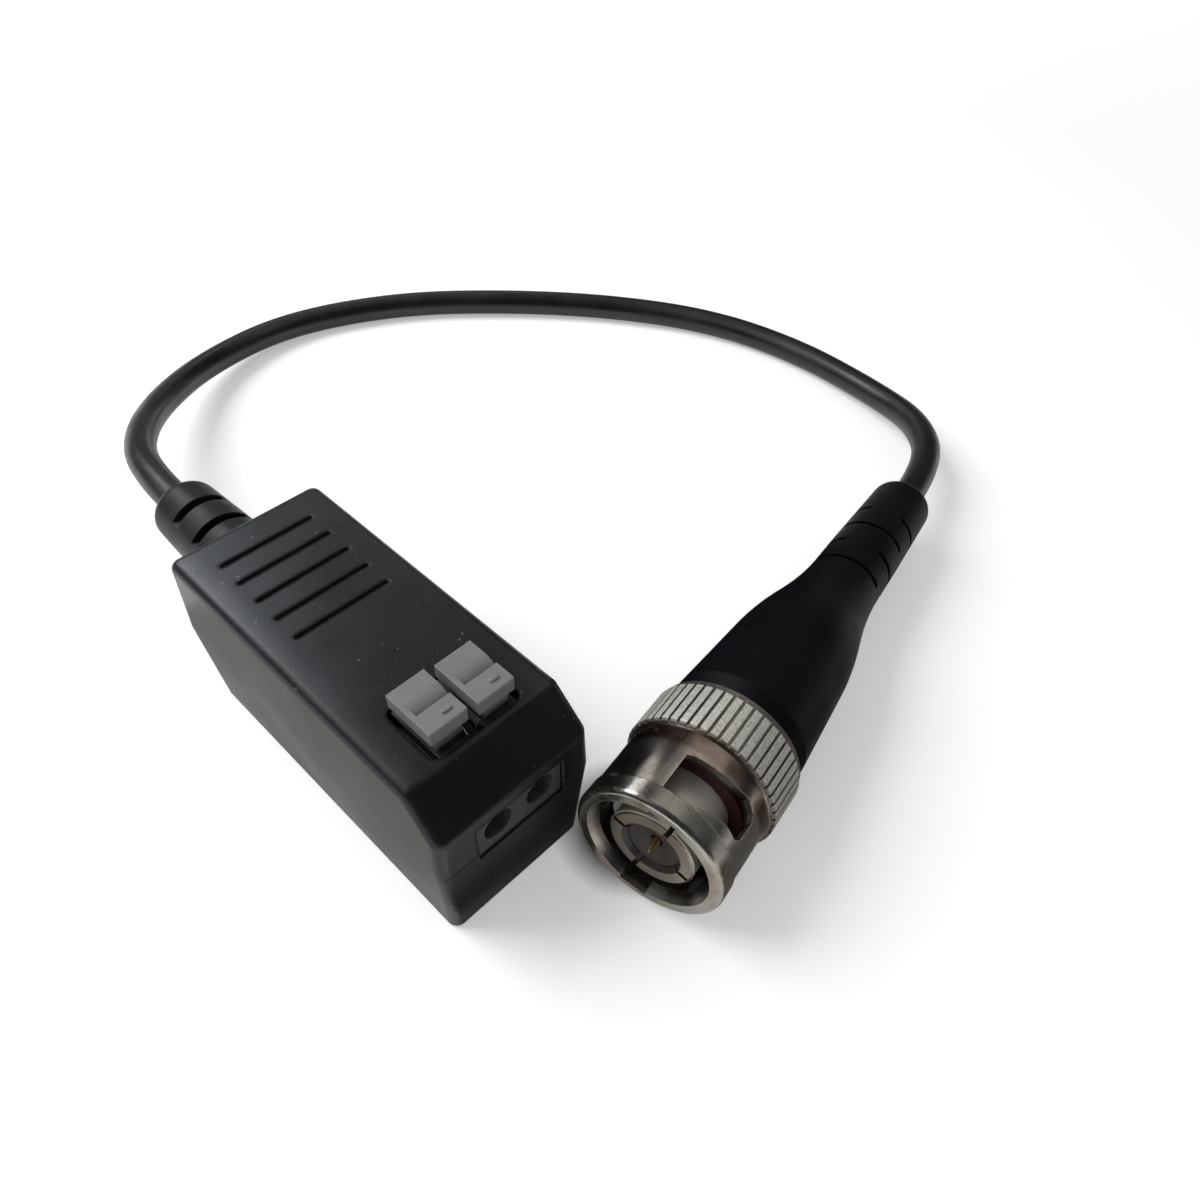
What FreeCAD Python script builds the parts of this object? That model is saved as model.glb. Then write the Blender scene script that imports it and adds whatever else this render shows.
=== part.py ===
# A passive video balun: a small housing with two push levers for bare wire,
# and a short coaxial lead that ends in a bayonet plug. Millimetres and degrees.
# The origin is under the middle of the housing, on the surface it stands on.
# The wire entries face -Y, the lead leaves at +Y and the lid faces +Z.
import FreeCAD, Part
import math
import os
import Sketcher
from types import SimpleNamespace

doc = FreeCAD.newDocument("VideoBalun")
sheet = doc.addObject("Spreadsheet::Sheet", "Sizes")

# The driving sizes, each with what it measures.
SIZES = {
    "case_width": 16.2,  # housing across, at the parting line
    "case_length": 38.1,  # housing from the wire entries to the lead
    "case_height": 18.8,  # housing from its foot to the lid
    "parting_height": 10.6,  # line where the two covers meet, and the lead's axis
    "case_wall": 1.3,  # wall of both covers
    "top_draft": 0.26,  # how far the lid is set in from the parting line
    "bottom_draft": 0.73,  # how far the foot is set in from the parting line
    "corner_radius": 1.0,  # upright corners of the housing
    "lid_radius": 0.8,  # edges of the lid
    "foot_radius": 0.5,  # edges of the foot
    "bevel_height": 15.0,  # where the slope above the wire entries starts
    "bevel_depth": 3.76,  # how far back the slope reaches on the lid
    "lip_rise": 0.7,  # bottom cover's lip above the parting line
    "lip_wall": 0.6,  # thickness of the lip
    "lip_gap": 0.05,  # clearance round the lip
    "groove_length": 9.64,  # decorative groove across the lid
    "groove_width": 0.45,  # width of a groove
    "groove_depth": 0.4,  # depth of a groove
    "groove_place": 4.27,  # first groove from the rear wall
    "groove_pitch": 2.92,  # from one groove to the next
    "groove_count": 5,  # number of grooves
    "terminal_offset": 0.2,  # wire terminals to the right of the middle
    "lever_pitch": 4.5,  # from one lever to the next
    "lever_width": 3.7,  # lever across
    "lever_length": 5.4,  # lever from front to back
    "lever_place": 5.01,  # mean front edge of the levers behind the front wall
    "lever_stagger": 0.15,  # left lever behind that place, right lever in front of it
    "lever_rise": 2.25,  # lever above the lid
    "lever_cap": 1.4,  # thickness of the lever's cap
    "lever_rim": 0.45,  # rim that closes the finger groove on one side
    "lever_travel": 1.0,  # how far a lever is pressed
    "lever_stop": 0.1,  # gap left under a pressed lever
    "finger_depth": 0.63,  # depth of the finger groove
    "finger_front": 2.25,  # front of the finger groove from the lever's front
    "finger_ramp": 1.4,  # round slope behind the finger groove's wall
    "finger_lean": 0.2,  # lean of the groove's front wall
    "lever_edge": 0.15,  # rounding of the lever's edges
    "nub_length": 1.0,  # small raised nub across the lever
    "nub_width": 0.5,  # nub from front to back
    "nub_rise": 0.2,  # nub above the cap
    "nub_round": 0.14,  # rounding of the nub
    "nub_side": 0.6,  # nub to the right of the lever's middle
    "nub_place": 1.05,  # nub behind the lever's front
    "stem_width": 2.6,  # lever's stem across
    "stem_length": 4.0,  # lever's stem from front to back
    "stem_inset": 0.3,  # stem behind the lever's front
    "stem_gap": 0.1,  # clearance round the stem
    "stem_reach": 3.9,  # stem below the cap
    "block_width": 9.0,  # terminal block across
    "block_crown": 7.8,  # block's upper part across
    "block_inset": 0.3,  # block's nose behind the front wall's face
    "block_base": 9.8,  # underside of the nose
    "block_nose": 4.1,  # height of the nose
    "block_front": 1.5,  # block's body behind the front wall's face
    "block_gap": 0.2,  # block clear of the lid's underside
    "block_back": 11.1,  # back of the block behind the front wall's face
    "web_rise": 0.9,  # web between the levers above the face under them
    "web_width": 0.5,  # web between the levers
    "chamber_width": 3.2,  # clamp chamber across
    "chamber_front": 3.9,  # chamber's front behind the front wall's face
    "chamber_length": 6.5,  # chamber from front to back
    "chamber_top": 16.4,  # roof of the chamber
    "opening_gap": 0.1,  # covers clear of the block
    "crown_gap": 0.15,  # block's upper part clear of the lid's opening
    "window_side": 4.5,  # half the lid's opening across
    "window_front": 4.45,  # front of the lid's opening
    "window_length": 6.3,  # lid's opening from front to back
    "window_radius": 0.7,  # corners of the lid's opening
    "wire_height": 12.2,  # axis of the wire entries
    "wire_radius": 1.1,  # straight part of a wire entry
    "wire_mouth": 1.5,  # mouth of a wire entry
    "wire_cone": 1.2,  # depth of the mouth's cone
    "board_side_gap": 0.4,  # circuit board's sides clear of the covers' side walls
    "board_front": 1.6,  # its front edge behind the front wall's face
    "board_rear_gap": 2.2,  # its rear edge clear of the rear wall
    "board_base": 7.2,  # underside of the board
    "board_thick": 1.2,  # thickness of the board
    "post_radius": 1.3,  # posts under the board
    "post_side": 4.6,  # posts from the middle
    "post_first": 13.5,  # first pair behind the front wall's face
    "post_rear": 3.1,  # second pair before the board's rear edge
    "peg_radius": 0.7,  # pegs through the board
    "peg_rise": 0.6,  # pegs above the board
    "peg_gap": 0.05,  # clearance round a peg or a tail
    "bar_width": 2.2,  # contact bar across
    "bar_front": 4.1,  # contact bar's front behind the front wall's face
    "bar_length": 5.4,  # contact bar from front to back
    "bar_lift": 1.8,  # contact bar above the board
    "bar_thick": 0.5,  # thickness of the contact bar
    "tail_width": 1.0,  # solder tail across
    "tail_depth": 1.0,  # solder tail below the board
    "clamp_width": 2.6,  # spring strip across
    "clamp_thick": 0.3,  # thickness of the spring strip
    "clamp_seat": 6.2,  # start of the strip on the bar, behind the front wall's face
    "clamp_back": 10.25,  # back of the spring behind the front wall's face
    "clamp_low_bend": 1.0,  # outer radius of the lower bend
    "clamp_top_bend": 1.25,  # outer radius of the upper bend
    "clamp_arm": 7.3,  # where the arm turns down, behind the front wall's face
    "clamp_tip": 4.4,  # tip of the strip behind the front wall's face
    "clamp_tip_lift": 0.75,  # tip above the contact bar
    "core_outer": 4.7,  # outer radius of the ferrite ring
    "core_inner": 2.1,  # inner radius of the ferrite ring
    "core_thick": 2.6,  # height of the ferrite ring
    "core_lift": 0.5,  # ring above the board
    "core_place": 22.0,  # ring behind the front wall's face
    "turn_wire": 0.4,  # thickness of a turn of wire
    "turn_gap": 0.05,  # turn clear of the ring
    "turn_count": 7,  # turns in each winding
    "turn_arc": 126,  # winding's share of the ring's circle
    "capacitor_radius": 2.5,  # disc capacitor
    "capacitor_thick": 2.4,  # disc capacitor from front to back
    "capacitor_lift": 0.8,  # disc above the board
    "capacitor_place": 14.1,  # disc behind the front wall's face
    "pin_radius": 0.25,  # capacitor's leads
    "pin_side": 1.25,  # capacitor's leads from the middle
    "diode_length": 4.4,  # surge diode across
    "diode_depth": 2.4,  # surge diode from front to back
    "diode_height": 2.2,  # surge diode above the board
    "diode_side": 2.9,  # surge diode left of the middle
    "diode_place": 28.3,  # surge diode behind the front wall's face
    "chip_length": 2.0,  # chip resistor across
    "chip_depth": 1.25,  # chip resistor from front to back
    "chip_height": 0.6,  # chip resistor above the board
    "chip_side": 2.1,  # resistors right of the middle
    "chip_place": 27.7,  # first resistor behind the front wall's face
    "chip_pitch": 2.0,  # from one resistor to the next
    "lead_radius": 1.75,  # jacket of the lead
    "lead_start_place": 31.0,  # start of the jacket behind the front wall's face
    "inner_radius": 0.5,  # bared inner conductor with its insulation
    "braid_radius": 0.4,  # twisted braid tail
    "inner_straight": 1.7,  # inner conductor before its first bend
    "inner_drop": 3.0,  # inner conductor where it nears the board
    "inner_reach": 4.1,  # end of the inner conductor
    "inner_side": 0.4,  # inner conductor's end to the right
    "solder_lift": 0.15,  # inner conductor's last bend above its end
    "braid_inset": 0.1,  # braid's tail inside the jacket's edge
    "braid_straight": 0.7,  # braid's tail before its bend
    "braid_bow": 0.9,  # braid's tail to the left at its bend
    "braid_rise": 0.75,  # braid's tail at its bend above its end
    "braid_spread": 1.2,  # braid's end to the left
    "braid_lift": 0.05,  # braid's end above the board
    "relief_flange": 4.2,  # flange inside the housing
    "relief_flange_thick": 1.6,  # thickness of that flange
    "relief_neck": 3.2,  # neck in the rear wall
    "relief_gap": 0.05,  # clearance at the rear wall
    "relief_root": 4.2,  # relief where it leaves the wall
    "relief_end": 3.5,  # relief at its end
    "relief_length": 15.4,  # relief outside the housing
    "relief_round": 1.3,  # rounding of its end
    "slot_first": 5.75,  # first slot from the wall
    "slot_pitch": 4.1,  # from one slot to the next
    "slot_width": 1.1,  # width of a slot
    "slot_core": 2.35,  # solid core left between the slots
    "slot_side": 3.1,  # half the slot across
    "plug_x": 6.0,  # plug's front face, to the right
    "plug_y": -27.55,  # plug's front face, in front of the housing's middle
    "plug_z": 8.13,  # plug's front face above the surface
    "plug_yaw": 10.14,  # plug's axis turned from the housing's width
    "plug_tilt": 2.4,  # plug's axis raised at its front
    "contact_radius": 4.1,  # outer contact of the plug
    "contact_bore": 2.45,  # bore of the outer contact
    "contact_front": 0.65,  # front of the outer contact
    "contact_chamfer": 0.4,  # bevel at the contact's mouth
    "contact_slot": 0.45,  # width of its spring slots
    "contact_slot_end": 3.3,  # end of its spring slots
    "contact_turn": 20.0,  # first spring slot's angle
    "flange_radius": 5.5,  # shoulder behind the gasket
    "flange_front": 7.3,  # front of the shoulder
    "flange_thick": 1.0,  # thickness of the shoulder
    "shank_radius": 4.3,  # shank that carries the nut
    "shank_end": 15.1,  # rear of the shank
    "ring_seat": 0.25,  # groove for the retaining ring
    "stem_outer": 1.9,  # stem under the braid
    "stem_bore": 1.3,  # bore of the stem
    "stem_end": 21.0,  # rear of the stem
    "core_front": 2.1,  # front of the insulator
    "core_back": 9.4,  # rear of the insulator
    "core_gap": 0.05,  # insulator clear of its bore
    "pin_gap": 0.005,  # insulator clear of the pin
    "pin_tip": 0.35,  # tip of the centre pin
    "pin_point": 0.08,  # radius of the pin's point
    "pin_size": 0.5,  # radius of the centre pin
    "pin_taper": 1.75,  # tapered part of the pin
    "pin_end": 14.0,  # rear of the centre pin
    "gasket_front": 6.5,  # front of the gasket
    "gasket_thick": 0.78,  # thickness of the gasket
    "gasket_seat": 3.85,  # seat of the gasket
    "gasket_gap": 0.02,  # gasket clear of the contact
    "nut_mouth": 5.9,  # mouth of the nut
    "nut_bore": 5.25,  # bore of the nut
    "nut_cone": 0.9,  # depth of the mouth's cone
    "nut_front_radius": 7.1,  # front rim of the nut
    "nut_rim": 2.0,  # length of the front rim
    "nut_land_radius": 6.95,  # smooth land of the nut
    "nut_knurl_radius": 7.46,  # knurled grip of the nut
    "knurl_front": 8.4,  # front of the grip
    "knurl_back": 13.4,  # back of the grip
    "knurl_count": 48,  # ribs of the grip
    "knurl_bevel": 0.25,  # bevel at both ends of the grip
    "knurl_groove": 0.28,  # width and depth of a groove between ribs
    "nut_edge": 0.5,  # rounding of the front rim
    "nut_back": 13.9,  # rear of the nut
    "nut_back_radius": 7.2,  # rear rim of the nut
    "nut_chamber": 5.85,  # chamber behind the nut's bore
    "chamber_start": 2.9,  # front of that chamber
    "nut_hole": 4.4,  # hole in the rear wall
    "nut_turn": 120.0,  # angle of the bayonet windows
    "nut_travel": 0.8,  # how far the nut slides forward
    "nut_slack": 0.06,  # room left when the nut is forward
    "lug_reach": 6.1,  # depth of the lug channels from the axis
    "lug_width": 2.6,  # width of a lug channel
    "lug_turn": -21.6,  # lug channel's angle from its window
    "lug_end": 3.2,  # rear of a lug channel
    "window_front_edge": 2.1,  # front edge of a bayonet window
    "window_half": 3.84,  # half the window's length round the nut
    "window_back_edge": 6.35,  # rear edge of a bayonet window
    "window_corner": 0.5,  # corners of a bayonet window
    "ramp_start": -1.7,  # start of the window's cam edge, round the nut
    "ramp_end": 1.8,  # end of the cam edge, round the nut
    "ramp_rise": 1.15,  # rise of the cam edge along the nut
    "seat_turn": 2.2,  # lug's seat in the window's rear edge, round the nut
    "seat_depth": 0.3,  # depth of that seat
    "thrust_inner": 4.35,  # bore of the thrust washer
    "thrust_outer": 5.55,  # rim of the thrust washer
    "thrust_thick": 0.5,  # thickness of the thrust washer
    "washer_gap": 0.03,  # play at the washers
    "wave_inner": 4.45,  # bore of the wave washer
    "wave_outer": 5.45,  # rim of the wave washer
    "wave_thick": 0.3,  # thickness of the wave washer
    "wave_height": 0.21,  # rise of a wave from the middle
    "wave_count": 3,  # waves in the washer
    "clip_outer": 5.3,  # rim of the retaining ring
    "clip_thick": 0.7,  # thickness of the retaining ring
    "clip_mouth": 2.6,  # opening of the retaining ring
    "clip_play": 0.02,  # play of the retaining ring in its groove
    "braid_outer": 2.2,  # braid crimped on the stem
    "ferrule_outer": 2.72,  # crimp ferrule
    "ferrule_end": 22.0,  # rear of the ferrule
    "boot_front": 14.15,  # front of the boot
    "boot_nose": 1.75,  # bevelled nose of the boot, along its axis
    "boot_nose_radius": 6.1,  # boot's front face
    "boot_front_radius": 6.8,  # boot behind its nose
    "boot_grip": 28.5,  # end of the boot's grip
    "boot_grip_radius": 6.0,  # radius there
    "boot_waist": 36.8,  # start of the boot's tail
    "boot_waist_radius": 3.98,  # radius there
    "boot_tail_radius": 3.82,  # tail before its slots end
    "boot_tail_mid": 45.0,  # where the tail starts to narrow
    "boot_end": 57.0,  # rear of the boot
    "boot_end_radius": 3.4,  # boot's rear end
    "boot_shoulder": 34.0,  # sweep of the boot's shoulder
    "boot_edge": 0.3,  # rounding of the boot's nose
    "boot_round": 1.2,  # rounding of its rear
    "tail_slot_first": 39.5,  # first slot of the tail
    "tail_slot_pitch": 3.45,  # from one slot to the next
    "tail_slot_width": 0.55,  # width of a slot
    "tail_slot_core": 3.05,  # solid core left under the slots
    "tail_slot_arc": 125.0,  # how far a slot reaches round
    "tail_slot_count": 4,  # slots along the tail
    "boot_gap": 0.03,  # boot clear of the pieces in it
    "lead_run": 9.4,  # straight lead behind the boot
    "lead_leave": 8.0,  # straight lead out of the relief
}


class Size:
    """A value together with the sheet expression that gives it."""

    def __init__(self, value, text):
        self.value = value
        self.text = text

    def __add__(self, other):
        other = as_size(other)
        return Size(self.value + other.value, f"({self.text} + {other.text})")

    def __sub__(self, other):
        other = as_size(other)
        return Size(self.value - other.value, f"({self.text} - {other.text})")

    def __mul__(self, other):
        other = as_size(other)
        return Size(self.value * other.value, f"({self.text} * {other.text})")

    def __truediv__(self, other):
        other = as_size(other)
        return Size(self.value / other.value, f"({self.text} / {other.text})")

    def __neg__(self):
        return Size(-self.value, f"(-1 * {self.text})")

    __radd__ = __add__
    __rmul__ = __mul__


def as_size(value):
    if isinstance(value, Size):
        return value
    return Size(float(value), f"({value})")


def arctan(ratio):
    return Size(math.degrees(math.atan(ratio.value)), f"atan({ratio.text})")


def root(number):
    return Size(math.sqrt(number.value), f"sqrt({number.text})")


def fill_sheet():
    """Writes the sizes into the sheet and gives back a Size for each alias."""
    for number, (alias, value) in enumerate(SIZES.items(), start=1):
        sheet.set(f"A{number}", alias.replace("_", " "))
        sheet.set(f"B{number}", str(value))
        sheet.setAlias(f"B{number}", alias)
    doc.recompute()
    found = {alias: Size(float(sheet.get(alias)), f"Sizes.{alias}") for alias in SIZES}
    return SimpleNamespace(**found)


d = fill_sheet()


def bind(item, **sizes):
    for name, size in sizes.items():
        size = as_size(size)
        setattr(item, name, size.value)
        item.setExpression(name, size.text)


def new_body(label):
    body = doc.addObject("PartDesign::Body", label)
    body.Label = label
    body.AllowCompound = True
    return body


def origin_part(body, role):
    return next(item for item in body.Origin.OriginFeatures if item.Role == role)


def new_sketch(body, plane, along=0):
    """An empty sketch on one of the body's planes, moved along its normal."""
    sketch = body.newObject("Sketcher::SketchObject", "Outline")
    sketch.AttachmentSupport = [(origin_part(body, plane), "")]
    sketch.MapMode = "FlatFace"
    along = as_size(along)
    sketch.AttachmentOffset = FreeCAD.Placement(FreeCAD.Vector(0, 0, along.value), FreeCAD.Rotation())
    sketch.setExpression("AttachmentOffset.Base.z", along.text)
    return sketch


def tie_point(sketch, line, end, point):
    """Holds one end of a line at a point, through sizes from the sheet."""
    for kind, size, axis in (("DistanceX", point[0], -2), ("DistanceY", point[1], -1)):
        size = as_size(size)
        if size.value == 0 and "Sizes" not in size.text:
            sketch.addConstraint(Sketcher.Constraint("PointOnObject", line, end, axis))
        else:
            index = sketch.addConstraint(Sketcher.Constraint(kind, -1, 1, line, end, size.value))
            sketch.setExpression(f"Constraints[{index}]", size.text)


def draw_outline(sketch, points):
    """Draws straight lines round a closed outline."""
    first = sketch.GeometryCount
    spots = [FreeCAD.Vector(as_size(u).value, as_size(v).value, 0) for u, v in points]
    count = len(spots)
    for step in range(count):
        sketch.addGeometry(Part.LineSegment(spots[step], spots[(step + 1) % count]))
    for step in range(count):
        following = first + (step + 1) % count
        sketch.addConstraint(Sketcher.Constraint("Coincident", first + step, 2, following, 1))
    for step in range(count):
        tie_point(sketch, first + step, 1, points[step])


def draw_rectangle(sketch, left, right, low, high):
    draw_outline(sketch, [(left, low), (right, low), (right, high), (left, high)])


def draw_circle(sketch, across, up, radius):
    centre = FreeCAD.Vector(as_size(across).value, as_size(up).value, 0)
    radius = as_size(radius)
    line = sketch.addGeometry(Part.Circle(centre, FreeCAD.Vector(0, 0, 1), radius.value))
    tie_point(sketch, line, 3, (across, up))
    index = sketch.addConstraint(Sketcher.Constraint("Radius", line, radius.value))
    sketch.setExpression(f"Constraints[{index}]", radius.text)


def draw_slot(sketch, left, right, up, width):
    """A slot along the sketch's X, with round ends centred at left and right."""
    half = width / 2
    ends = [FreeCAD.Vector(left.value, up.value, 0), FreeCAD.Vector(right.value, up.value, 0)]
    rise = FreeCAD.Vector(0, half.value, 0)
    quarter = math.pi / 2
    normal = FreeCAD.Vector(0, 0, 1)
    circles = [Part.Circle(end, normal, half.value) for end in ends]
    sketch.addGeometry(Part.LineSegment(ends[0] - rise, ends[1] - rise))
    sketch.addGeometry(Part.ArcOfCircle(circles[1], -quarter, quarter))
    sketch.addGeometry(Part.LineSegment(ends[1] + rise, ends[0] + rise))
    sketch.addGeometry(Part.ArcOfCircle(circles[0], quarter, 3 * quarter))
    for step in range(4):
        sketch.addConstraint(Sketcher.Constraint("Tangent", step, 2, (step + 1) % 4, 1))
    tie_point(sketch, 1, 3, (right, up))
    tie_point(sketch, 3, 3, (left, up))
    index = sketch.addConstraint(Sketcher.Constraint("Radius", 1, half.value))
    sketch.setExpression(f"Constraints[{index}]", half.text)
    sketch.addConstraint(Sketcher.Constraint("Equal", 1, 3))


def grow(body, kind, sketch, length, both=False, flip=False, taper=None):
    """A pad or a pocket of the sketch. Its volume has to change the body."""
    before = body.Shape.Volume if body.Shape and not body.Shape.isNull() else 0.0
    item = body.newObject(f"PartDesign::{kind}", kind)
    item.Profile = sketch
    bind(item, Length=length)
    item.SideType = "Symmetric" if both else "One side"
    item.Reversed = flip
    if taper is not None:
        bind(item, TaperAngle=taper)
    sketch.Visibility = False
    doc.recompute()
    if abs(body.Shape.Volume - before) < 1e-6:
        raise ValueError(f"{body.Label}: {item.Name} changes nothing")
    return item


def pad(body, sketch, length, **options):
    return grow(body, "Pad", sketch, length, **options)


def pocket(body, sketch, length, **options):
    return grow(body, "Pocket", sketch, length, **options)


def spin(body, kind, sketch, angle=360, both=False):
    """A revolution or a groove of the sketch about its upright axis."""
    item = body.newObject(f"PartDesign::{kind}", kind)
    item.Profile = sketch
    item.ReferenceAxis = (sketch, ["V_Axis"])
    bind(item, Angle=angle)
    item.Midplane = both
    doc.recompute()
    return item


def ring_pattern(body, feature, count, angle=360):
    pattern = body.newObject("PartDesign::PolarPattern", "RingPattern")
    pattern.Originals = [feature]
    pattern.Axis = (origin_part(body, "Z_Axis"), [""])
    bind(pattern, Angle=angle)
    pattern.setExpression("Occurrences", as_size(count).text)
    body.Tip = pattern
    doc.recompute()
    return pattern


def row_pattern(body, feature, count, pitch, axis, flip=False):
    pattern = body.newObject("PartDesign::LinearPattern", "RowPattern")
    pattern.Originals = [feature]
    pattern.Direction = (origin_part(body, axis), [""])
    pattern.Reversed = flip
    bind(pattern, Length=pitch * (count - 1))
    pattern.setExpression("Occurrences", as_size(count).text)
    body.Tip = pattern
    doc.recompute()
    return pattern


def edges_where(shape, test):
    return [f"Edge{number}" for number, edge in enumerate(shape.Edges, start=1) if test(edge)]


def soften(body, kind, size, test):
    """Fillets or chamfers the edges that pass the test."""
    names = edges_where(body.Tip.Shape, test)
    if not names:
        raise ValueError(f"{body.Label}: no edge to soften")
    base = body.Tip
    item = body.newObject(f"PartDesign::{kind}", kind)
    item.Base = (base, names)
    bind(item, **{"Radius" if kind == "Fillet" else "Size": size})
    body.Tip = item
    doc.recompute()
    return item


def middle(edge):
    return edge.BoundBox.Center


def upright(edge):
    return edge.BoundBox.ZLength > 0.9 * edge.Length


def hollow(body, height, wall):
    """Empties the body through its flat face at the given height."""
    name = next(f"Face{number}" for number, face in enumerate(body.Shape.Faces, start=1)
                if face.BoundBox.ZLength < 1e-6 and abs(face.BoundBox.ZMin - height.value) < 1e-6)
    base = body.Tip
    item = body.newObject("PartDesign::Thickness", "Thickness")
    item.Base = (base, [name])
    item.Reversed = True
    item.Join = "Intersection"
    bind(item, Value=wall)
    body.Tip = item
    doc.recompute()
    return item


# Places shared by several pieces
front = -d.case_length / 2
rear = d.case_length / 2
half_width = d.case_width / 2
board_width = d.case_width - (d.case_wall + d.board_side_gap) * 2
board_rear = d.case_length - d.case_wall - d.board_rear_gap
board_top = d.board_base + d.board_thick
post_places = (d.post_first, board_rear - d.post_rear)
block_roof = d.case_height - d.case_wall - d.block_gap
cap_top = d.case_height + d.lever_rise
cap_base = cap_top - d.lever_cap
bar_base = board_top + d.bar_lift
bar_top = bar_base + d.bar_thick
bevel_slope = (d.case_height - d.bevel_height) / d.bevel_depth
block_top = cap_base - d.lever_travel - d.lever_stop
flange_back = d.flange_front + d.flange_thick
wave_front = flange_back + d.nut_slack + d.nut_travel
thrust_front = wave_front + d.wave_height * 2 + d.wave_thick + d.washer_gap
nut_shoulder = thrust_front + d.thrust_thick + d.washer_gap
clip_front = d.nut_back + d.washer_gap
sunk = 0.3  # how far a feature reaches into the piece that it grows from


def cover_outline(body):
    sketch = new_sketch(body, "XY_Plane", d.parting_height)
    draw_rectangle(sketch, -half_width, half_width, front, rear)
    return sketch


def round_corners(body):
    near = d.corner_radius.value

    def is_corner(edge):
        spot = middle(edge)
        outside = half_width.value - abs(spot.x) < near and rear.value - abs(spot.y) < near
        return upright(edge) and outside

    soften(body, "Fillet", d.corner_radius, is_corner)


def open_ends(body):
    """Cuts the front opening for the terminal block and the rear hole for the relief."""
    beyond = 1.0
    nose = new_sketch(body, "XZ_Plane", -front + beyond)
    side = d.block_width / 2 + d.opening_gap
    low = d.block_base - d.opening_gap
    high = d.block_base + d.block_nose + d.opening_gap
    draw_rectangle(nose, d.terminal_offset - side, d.terminal_offset + side, low, high)
    pocket(body, nose, d.case_wall + d.bottom_draft + beyond)
    hole = new_sketch(body, "XZ_Plane", -rear - beyond)
    draw_circle(hole, 0, d.parting_height, d.relief_neck + d.relief_gap)
    pocket(body, hole, d.case_wall + d.bottom_draft + beyond, flip=True)


def make_top_cover():
    body = new_body("top_cover")
    rise = d.case_height - d.parting_height
    pad(body, cover_outline(body), rise, taper=-arctan(d.top_draft / rise))
    hollow(body, d.parting_height, d.case_wall)
    web = new_sketch(body, "YZ_Plane")
    inside = d.case_wall / 2
    slope_low = d.bevel_height - d.case_wall * root(bevel_slope * bevel_slope + 1)
    roof = d.case_height - inside
    draw_outline(web, [(front + inside, slope_low + bevel_slope * inside),
                       (front + (roof - slope_low) / bevel_slope, roof), (front + inside, roof)])
    pad(body, web, d.case_width - d.case_wall, both=True)
    bevel = new_sketch(body, "YZ_Plane")
    beyond = 2.0
    low = d.bevel_height - bevel_slope * beyond
    high = d.case_height + bevel_slope * beyond
    draw_outline(bevel, [(front - beyond, low), (front + d.bevel_depth + beyond, high),
                         (front - beyond, high)])
    pocket(body, bevel, d.case_width * 2, both=True)
    round_corners(body)
    bevel_start = d.bevel_height.value - 0.05
    inside = half_width.value - d.case_wall.value
    inside_front = front.value + d.case_wall.value + d.bevel_depth.value

    def is_lid_edge(edge):
        spot = middle(edge)
        on_lid = spot.z > d.case_height.value - 0.01
        on_slope = spot.z > bevel_start and abs(spot.x) > inside + 0.3 and spot.y < inside_front
        on_brow = abs(spot.z - d.bevel_height.value) < 0.05 and spot.y < front.value + 0.5
        return on_lid or (on_slope and not upright(edge)) or on_brow

    soften(body, "Fillet", d.lid_radius, is_lid_edge)
    rebate = new_sketch(body, "XY_Plane", d.parting_height)
    inset = d.case_wall - d.lip_wall - d.lip_gap
    draw_rectangle(rebate, -half_width + inset, half_width - inset, front + inset, rear - inset)
    pocket(body, rebate, d.lip_rise + d.lip_gap, flip=True)
    window = new_sketch(body, "XY_Plane", d.case_height + 1)
    window_low = front + d.window_front
    draw_rectangle(window, d.terminal_offset - d.window_side, d.terminal_offset + d.window_side,
                   window_low, window_low + d.window_length)
    pocket(body, window, d.case_wall * 3 + 1)
    side = d.window_side.value
    window_middle = (window_low + d.window_length / 2).value
    reach = d.window_length.value / 2

    def is_window_corner(edge):
        spot = middle(edge)
        beside = abs(abs(spot.x - d.terminal_offset.value) - side) < 1e-3
        level = abs(abs(spot.y - window_middle) - reach) < 1e-3
        return upright(edge) and beside and level

    soften(body, "Fillet", d.window_radius, is_window_corner)
    groove = new_sketch(body, "XY_Plane", d.case_height)
    end = (d.groove_length - d.groove_width) / 2
    draw_slot(groove, -end, end, rear - d.groove_place, d.groove_width)
    first = pocket(body, groove, d.groove_depth)
    row_pattern(body, first, d.groove_count, d.groove_pitch, "Y_Axis", flip=True)
    open_ends(body)
    return body


def make_bottom_cover():
    body = new_body("bottom_cover")
    slope = arctan(d.bottom_draft / d.parting_height)
    pad(body, cover_outline(body), d.parting_height, flip=True, taper=-slope)
    hollow(body, d.parting_height, d.case_wall)
    round_corners(body)
    soften(body, "Fillet", d.foot_radius, lambda edge: middle(edge).z < 0.01)
    for radius, start, end in ((d.post_radius, d.case_wall / 2, d.board_base),
                               (d.peg_radius, d.board_base - 1, board_top + d.peg_rise)):
        posts = new_sketch(body, "XY_Plane", start)
        for side in (-1, 1):
            for place in post_places:
                draw_circle(posts, d.post_side * side, front + place, radius)
        pad(body, posts, end - start)
    lip = new_sketch(body, "XY_Plane", d.parting_height - sunk)
    outer = d.case_wall - d.lip_wall
    draw_rectangle(lip, -half_width + outer, half_width - outer, front + outer, rear - outer)
    draw_rectangle(lip, -half_width + d.case_wall, half_width - d.case_wall,
                   front + d.case_wall, rear - d.case_wall)
    pad(body, lip, d.lip_rise + sunk)
    open_ends(body)
    return body


def terminal_x(side):
    return d.terminal_offset + d.lever_pitch * side / 2


def lever_front(side):
    return front + d.lever_place - d.lever_stagger * side


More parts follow.
